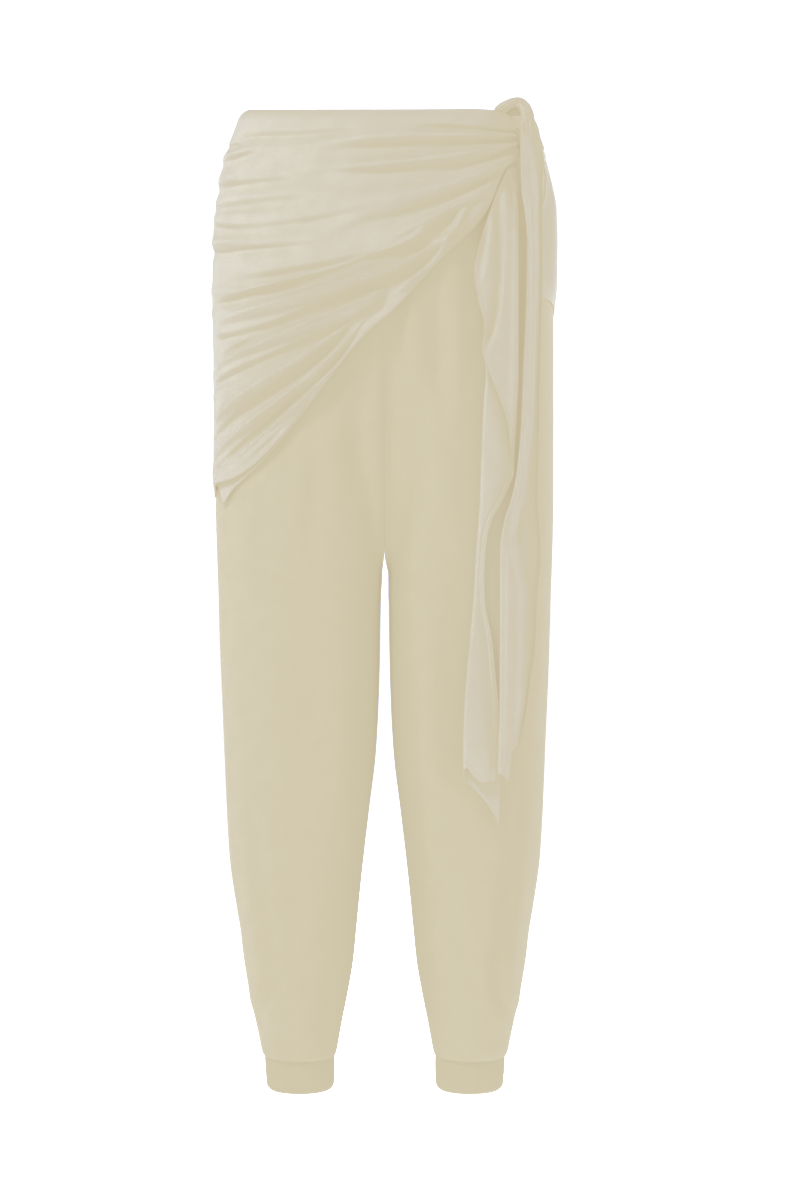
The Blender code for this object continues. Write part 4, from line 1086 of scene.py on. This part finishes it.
def strand_grid(rows, columns, inset):
    """The rings of the knot's strand, gathered lengthwise."""
    table = strand_table()
    run = np.arange(len(table), dtype=float)
    t = np.linspace(0, len(table) - 1, rows)
    lines = [smooth(np.stack([run, table[:, k]], 1), 1, t) for k in range(5)]
    near = np.ones(2 * STRAND_EVEN + 1)
    for k, line in enumerate(lines):
        held = np.concatenate([line[:1].repeat(STRAND_EVEN), line, line[-1:].repeat(STRAND_EVEN)])
        lines[k] = np.convolve(held, near / len(near), "valid")
    x = lines[0]
    middle = np.stack(lines[:3], -1)
    along = np.gradient(middle, axis=0)
    along /= np.linalg.norm(along, axis=1, keepdims=True)
    low = unit((-middle[:, 2] - 8) / 20)
    outward = np.stack([x * 0.006 * (1 - low) + 1.2 * low * (x / 140) ** 4, -1 + 0 * x, 0.42 * low], -1)
    outward[0] = STRAND_START
    outward -= along * (outward * along).sum(1, keepdims=True)
    outward /= np.linalg.norm(outward, axis=1, keepdims=True)
    across = np.cross(along, outward)
    a = np.linspace(0, 2 * math.pi, columns, endpoint=False)
    ca, sa = rounded(np.cos(a), STRAND_POWER), rounded(np.sin(a), STRAND_POWER)
    sway = 0.10 * np.sin(t * 0.9)[:, None]
    rise = np.zeros((rows, columns))
    for place, deep in STRAND_GATHERS:
        rise = rise - deep * hump((ca[None] - place - sway) / 0.10)
    rise = rise * unit(np.abs(sa)[None] * 2) - inset
    ended = unit((t - len(table) + 4) / 2)[:, None]
    rise = (rise + inset) * (1 - ended) - inset * (1 - 0.5 * ended)
    return (
        middle[:, None]
        + across[:, None] * ((lines[3][:, None] + rise * 0.4 - inset * 0.6) * ca[None])[..., None]
        + outward[:, None] * ((lines[4][:, None] + rise) * sa[None])[..., None]
    )


# The cloth inside the strand's loop: its left side, width, upper edge and height as seen, and its depth.
LOOP_LEFT = 121.0
LOOP_WIDE = 17.0
LOOP_TOP = -5.5
LOOP_HIGH = 11.5
LOOP_DEPTH = -75.5


def inner_folds(rows, columns, depth):
    """The cloth that shows inside the strand's loop, in small slanting folds."""
    across, down = np.meshgrid(np.linspace(0, 1, columns), np.linspace(0, 1, rows))
    x = LOOP_LEFT + LOOP_WIDE * across
    drop = LOOP_TOP + LOOP_HIGH * down + 4.0 * (across - 0.6) ** 2
    fold = np.sin(across * 13 + down * 7)
    y = LOOP_DEPTH - 3.0 * np.abs(fold) ** 3 - depth
    px, pz = placed(x, drop, y)
    return np.stack([px, y, pz], -1)


# The lower layer of the wrap where it shows under the front hem: turn, then how far below the hem.
UNDER_SHOWS = (
    (-72, -4), (-66, 2), (-60, 20), (-55, 12), (-52, 8), (-45, 4.4), (-39, 2.5), (-24, 1.2), (-16, -3),
)
# How far it reaches up behind the hem, and between which turns it lies.
UNDER_TOP = 16
UNDER_TURNS = (-71, -17)


def under_grid(rows, columns, depth):
    """The lower layer, from a little above the front hem to where it ends below it."""
    turns = np.linspace(*UNDER_TURNS, columns)
    edge = smooth(WRAP_HEM, 1, turns)
    low = edge + smooth(UNDER_SHOWS, 1, turns)
    share = np.linspace(0, 1, rows)[:, None]
    drop = (edge - UNDER_TOP)[None] + (low - edge + UNDER_TOP)[None] * share
    turn = np.broadcast_to(turns, drop.shape)
    roll = 0.6 * unit(1 - (low[None] - drop) / 2.0) ** 2
    return torso(turn, drop, cover(turn, drop) + WRAP_OUT + CLOSEST - roll - depth)


def sample(grid, i, j):
    """Points of a grid at fractional rows and columns."""
    i0 = np.clip(np.floor(i).astype(int), 0, grid.shape[0] - 2)
    j0 = np.clip(np.floor(j).astype(int), 0, grid.shape[1] - 2)
    s, t = (i - i0)[:, None], (j - j0)[:, None]
    near = grid[i0, j0] * (1 - t) + grid[i0, j0 + 1] * t
    far = grid[i0 + 1, j0] * (1 - t) + grid[i0 + 1, j0 + 1] * t
    return near * (1 - s) + far * s


STITCH_LONG = 2.3
STITCH_PITCH = 3.5
STITCH_THICK = 0.34
STITCH_SIDES = 6
# The shape of one stitch: how far along it, its fullness and its lift.
STITCH_SHAPE = ((-0.5, 0.3, -0.14), (-0.36, 0.8, 0.02), (0, 1, 0.1), (0.36, 0.8, 0.02), (0.5, 0.3, -0.14))


def stitches(lines, name, made):
    """Rows of small stitches along lines of points, each with the cloth's outward direction."""
    points, faces = [], []
    ring = np.linspace(0, 2 * math.pi, STITCH_SIDES, endpoint=False)
    for line, outward in lines:
        gone = np.concatenate([[0], np.cumsum(np.linalg.norm(np.diff(line, axis=0), axis=1))])
        for here in np.arange(1, int(gone[-1] / STITCH_PITCH)) * STITCH_PITCH:
            reached = [here + place * STITCH_LONG for place, _, _ in STITCH_SHAPE]
            ends = np.stack([np.interp(reached, gone, line[:, m]) for m in range(3)], 1)
            up = np.array([np.interp(here, gone, outward[:, m]) for m in range(3)])
            run = ends[-1] - ends[0]
            run /= max(np.linalg.norm(run), 1e-6)
            up -= run * (up @ run)
            up /= max(np.linalg.norm(up), 1e-6)
            side = np.cross(run, up)
            base = len(points)
            for end, (_, size, lift) in zip(ends, STITCH_SHAPE):
                reach = size * STITCH_THICK
                for angle in ring:
                    aside = side * reach * math.cos(angle) + up * reach * math.sin(angle)
                    points.append(end + up * lift + aside)
            last = base + STITCH_SIDES * (len(STITCH_SHAPE) - 1)
            for a in range(base, last, STITCH_SIDES):
                for n in range(STITCH_SIDES):
                    p = (n + 1) % STITCH_SIDES
                    faces.append((a + n, a + p, a + STITCH_SIDES + p, a + STITCH_SIDES + n))
            for quad in ((0, 1, 2, 3), (0, 3, 4, 5)):
                faces.append(tuple(base + q for q in reversed(quad)))
                faces.append(tuple(last + q for q in quad))
    return add_mesh(name, points, faces, made, np.array(points))


def put(node, values):
    """Set a node's sockets, by their names."""
    for name, value in values.items():
        node.inputs[name].default_value = value


# The scale of a wave texture whose bands are one unit apart.
WAVE_SCALE = 0.314


def cloth_material(name, colour, spread, pitch, roughness, bump):
    """Fine knitted jersey: small columns of loops, a soft grain, and slow changes of shade."""
    made = bpy.data.materials.new(name)
    made.use_nodes = True
    tree = made.node_tree
    nodes, links = tree.nodes, tree.links
    shader = nodes["Principled BSDF"]
    put(shader, {"Metallic": 0.0, "Specular IOR Level": 0.2, "Sheen Weight": 0.12, "Sheen Roughness": 0.5})
    place = nodes.new("ShaderNodeAttribute")
    place.attribute_name = "cloth"

    def texture(kind, values):
        """A texture over the cloth's own lengths."""
        node = nodes.new(kind)
        links.new(place.outputs["Vector"], node.inputs["Vector"])
        put(node, values)
        return node

    def maths(kind, first, second):
        """The result of a sum of two outputs, or of an output and a number."""
        node = nodes.new("ShaderNodeMath")
        node.operation = kind
        for socket, value in zip(node.inputs, (first, second)):
            if isinstance(value, (int, float)):
                socket.default_value = value
            else:
                links.new(value, socket)
        return node.outputs[0]

    loops = []
    for way, apart in (("X", pitch), ("Y", pitch * 0.8)):
        wave = texture("ShaderNodeTexWave", {"Scale": WAVE_SCALE / apart, "Distortion": 0.8, "Detail": 1.0})
        wave.bands_direction = way
        loops.append(wave.outputs["Fac"])
    grain = texture("ShaderNodeTexNoise", {"Scale": 0.55, "Detail": 4.0, "Roughness": 0.7}).outputs["Fac"]
    patches = texture("ShaderNodeTexNoise", {"Scale": 0.045, "Detail": 3.0, "Roughness": 0.5}).outputs["Fac"]
    knit = maths("MULTIPLY", maths("MULTIPLY", *loops), 0.6)
    lift = nodes.new("ShaderNodeBump")
    put(lift, {"Strength": bump, "Distance": 0.0002})
    links.new(maths("ADD", knit, grain), lift.inputs["Height"])
    links.new(lift.outputs["Normal"], shader.inputs["Normal"])
    shade = maths("ADD", maths("MULTIPLY", grain, 0.45), maths("MULTIPLY", patches, 0.45))
    shade = maths("ADD", shade, maths("MULTIPLY", knit, 0.3))
    ramp = nodes.new("ShaderNodeValToRGB")
    ends = ((0.25, 1 - spread), (0.75, 1 + spread))
    for element, (at, share) in zip(ramp.color_ramp.elements, ends):
        element.position = at
        element.color = (*(min(c * share, 1.0) for c in colour), 1)
    links.new(shade, ramp.inputs["Fac"])
    links.new(ramp.outputs["Color"], shader.inputs["Base Color"])
    rough = nodes.new("ShaderNodeMapRange")
    put(rough, {"To Min": roughness - 0.06, "To Max": roughness + 0.06})
    links.new(grain, rough.inputs["Value"])
    links.new(rough.outputs["Result"], shader.inputs["Roughness"])
    return made


# The cloths: colour, spread of its shades, distance between its loops in mm, roughness, and bump. The
# hanging ends use the wrap's cloth painted a little paler, as painted light for the brighter light they
# catch.
CLOTHS = {
    "leg_jersey": ("leg_jersey_cloth", (0.575, 0.520, 0.385), 0.06, 1.0, 0.88, 0.3),
    "wrap_jersey": ("wrap_jersey_cloth", (0.600, 0.555, 0.450), 0.06, 1.0, 0.88, 0.3),
    # The wrap's cloth painted paler: a painted highlight for the hanging ends.
    "painted_light_end": ("painted_light_end_cloth", (0.615, 0.571, 0.466), 0.06, 1.0, 0.88, 0.3),
    "waistband_jersey": ("waistband_jersey_cloth", (0.560, 0.505, 0.370), 0.04, 1.2, 0.88, 0.4),
    "cuff_jersey": ("cuff_jersey_cloth", (0.545, 0.490, 0.355), 0.04, 1.2, 0.88, 0.4),
    "thread": ("sewing_thread", (0.62, 0.575, 0.47), 0.05, 0.4, 0.7, 0.3),
}
MATERIALS = {kind: cloth_material(*row) for kind, row in CLOTHS.items()}


def fit(node, grids, slot, cloth=None, cyclic=False):
    """A cloth piece between two grids, which stands for its solid and rides with it."""
    item = walled(node + "_cloth", *grids, MATERIALS[cloth or slot], cyclic)
    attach(item, "root")
    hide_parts(node)


def sides(make, *sizes, ends=(0.0, CLOTH)):
    """The outer and inner grids of a piece."""
    return [make(*sizes, end) for end in ends]


LEG_COLUMNS = 72
CUFF_COLUMNS = 5 * CUFF_RIBS
BAND_COLUMNS = 640
for side in ("left", "right"):
    for face in ("front", "back"):
        grids = leg_grids(LEG_DROPS, LEG_COLUMNS, face == "back", side == "right")
        fit(f"{face}_{side}_leg", grids, "leg_jersey")
    fit(f"cuff_{side}", cuff_grids(CUFF_COLUMNS, side == "right"), "cuff_jersey", cyclic=True)
fit("waistband", waistband(BAND_COLUMNS), "waistband_jersey", cyclic=True)

# The wrap's two stretches meet at the wearer's right side, with a small gap between them.
FIRST, LAST = FRONT_EDGE[0][1], -90.07
JOIN_GAP = 0.14
fit("wrap_front", sides(wrap_grid, LAST + JOIN_GAP, FIRST, 236, 200), "wrap_jersey")
fit("wrap_back", sides(wrap_grid, KNOT_BACK[0], LAST, 160, 200), "wrap_jersey")
fit("wrap_under_layer", sides(under_grid, 20, 90), "wrap_jersey")

TAIL_ROWS = 236
FRONT_COUNTS = (24, 16, 84)
SIDE_COUNTS = (14, 16, 14, 26)
front_tail = sides(front_tail_grid, TAIL_ROWS, FRONT_COUNTS, ends=(1, -1))
side_tail = sides(side_tail_grid, TAIL_ROWS, SIDE_COUNTS, ends=(1, -1))
# The hanging ends take the paler copy of the wrap's cloth, which is painted light.
fit("tail_front", front_tail, "wrap_jersey", "painted_light_end")
fit("tail_side", side_tail, "wrap_jersey", "painted_light_end")
fit("knot_strand", sides(strand_grid, 120, 96), "wrap_jersey", cyclic=True)
inner_grids = sides(inner_folds, 24, 60, ends=(0.8, 0.0))
inner_cloth = walled("knot_inner_folds", *inner_grids, MATERIALS["wrap_jersey"])


def hem_line(first, last, away):
    """The sewn line of the wrap's hem, with the cloth's outward direction along it."""
    turns = np.linspace(first, last, 400)
    drops = smooth(WRAP_HEM, 1, turns) - away * hem_slant(turns)
    here = wrap_point(turns, drops)
    aside, lower = wrap_point(turns + 0.3, drops), wrap_point(turns, drops + 0.8)
    outward = np.cross(lower - here, aside - here)
    outward /= np.linalg.norm(outward, axis=1, keepdims=True)
    flip = np.sign((outward[:, :2] * here[:, :2]).sum(1))[:, None]
    return here, outward * flip


def tail_line(grids, counts, share, first):
    """A sewn line down a hanging end's outer side, at a share of its front layer."""
    steps = np.arange(first, TAIL_ROWS - 4, 1.0)
    columns = np.full(steps.shape, sum(counts[:-1]) + counts[-1] * share)
    return sample(grids[0], steps, columns), sample(normals(grids[0]), steps, columns)


lines = [hem_line(-89.5, 38, HEM_BAND), hem_line(-262, -90.5, HEM_BAND)]
wrap_stitches = stitches(lines, "wrap_hem_stitches", MATERIALS["thread"])
lines = [tail_line(front_tail, FRONT_COUNTS, 0.87, 8), tail_line(side_tail, SIDE_COUNTS, 0.62, 10)]
tail_stitches = stitches(lines, "tail_hem_stitches", MATERIALS["thread"])
for item in (wrap_stitches, tail_stitches, inner_cloth):
    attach(item, "root")


def area_light(name, place, aim, size, power):
    """A round soft light at a place, turned to what it lights."""
    lamp = bpy.data.lights.new(name, "AREA")
    lamp.shape = "DISK"
    lamp.size = size
    lamp.energy = power
    item = bpy.data.objects.new(name, lamp)
    bpy.context.scene.collection.objects.link(item)
    item.location = place
    away = np.array(place) - np.array(aim)
    turn = math.atan2(away[0], -away[1])
    tilt = math.acos(away[2] / np.linalg.norm(away))
    item.rotation_euler = (tilt, 0, turn)


# How bright the studio's sky is overhead, its horizon, and the floor's place, half width and own glow.
SKY = 0.35
HORIZON = 0.98
FLOOR_DROP = 1.06
FLOOR_HALF = 9
FLOOR_GLOW = 0.52

# How a picture's tones are softened, for red, green and blue: the light that comes in, what is shown.
TONES = (
    ((0, 0.50), (0.22, 0.572), (0.34, 0.595), (0.485, 0.617), (0.585, 0.636), (0.63, 0.650), (0.66, 0.662),
     (0.69, 0.688), (0.715, 0.718), (0.76, 0.78), (0.88, 1)),
    ((0, 0.42), (0.195, 0.50), (0.305, 0.533), (0.44, 0.557), (0.533, 0.573), (0.565, 0.585), (0.595, 0.605),
     (0.625, 0.626), (0.645, 0.648), (0.67, 0.690), (0.72, 0.77), (0.88, 1)),
    ((0, 0.26), (0.136, 0.34), (0.22, 0.371), (0.325, 0.397), (0.402, 0.415), (0.43, 0.436), (0.468, 0.466),
     (0.50, 0.500), (0.521, 0.534), (0.55, 0.60), (0.62, 0.70), (0.88, 1)),
)

scene = bpy.context.scene
scene.view_settings.view_transform = "Standard"
scene.view_settings.use_curve_mapping = True
mapping = scene.view_settings.curve_mapping
for curve, tones in zip(mapping.curves, TONES):
    curve.points[0].location = tones[0]
    curve.points[-1].location = (1, 1)
    for point in tones[1:]:
        curve.points.new(*point)
    for point in curve.points:
        point.handle_type = "VECTOR"
mapping.update()

world = bpy.data.worlds.new("studio")
world.use_nodes = True
sky = world.node_tree
backdrop = sky.nodes["Background"]
backdrop.inputs["Strength"].default_value = 1.0
towards = sky.nodes.new("ShaderNodeTexCoord")
parts = sky.nodes.new("ShaderNodeSeparateXYZ")
fade = sky.nodes.new("ShaderNodeValToRGB")
sky.links.new(towards.outputs["Generated"], parts.inputs["Vector"])
sky.links.new(parts.outputs["Z"], fade.inputs["Fac"])
sky.links.new(fade.outputs["Color"], backdrop.inputs["Color"])
for element, place, light in zip(fade.color_ramp.elements, (0.16, 0.45), (HORIZON, SKY)):
    element.position = place
    element.color = (light, light, light, 1)
scene.world = world

area_light("key", (-1.5, -2.1, 3.0), (0, 0, -0.3), 0.9, 78)
area_light("rim_left", (-1.9, 1.0, 0.3), (0, 0, -0.4), 1.0, 5)
area_light("rim_right", (1.55, 0.75, 0.9), (0.1, 0, -0.2), 1.0, 18)

floor_mesh = bpy.data.meshes.new("floor")
corners = [(x * FLOOR_HALF, y * FLOOR_HALF, -FLOOR_DROP) for x, y in ((-1, -1), (1, -1), (1, 1), (-1, 1))]
floor_mesh.from_pydata(corners, [], [(0, 1, 2, 3)])
floor = bpy.data.objects.new("floor", floor_mesh)
scene.collection.objects.link(floor)
paper = bpy.data.materials.new("pale_paper")
paper.use_nodes = True
put(paper.node_tree.nodes["Principled BSDF"], {
    "Base Color": (0.85, 0.85, 0.85, 1),
    "Roughness": 1.0,
    "Emission Color": (1, 1, 1, 1),
    "Emission Strength": FLOOR_GLOW,
})
floor_mesh.materials.append(paper)

lens = bpy.data.cameras.new("camera")
lens.sensor_width = 36.0
lens.lens = 96.25
lens.clip_start = 0.05
lens.clip_end = 60.0
camera = bpy.data.objects.new("camera", lens)
scene.collection.objects.link(camera)
camera.location = (VIEW_SIDE * MM, -VIEW_AWAY * MM, -VIEW_DROP * MM)
lean = math.atan2(VIEW_AIM_DROP - VIEW_DROP, VIEW_AWAY)
camera.rotation_euler = (math.pi / 2 - lean, 0, 0)
scene.camera = camera
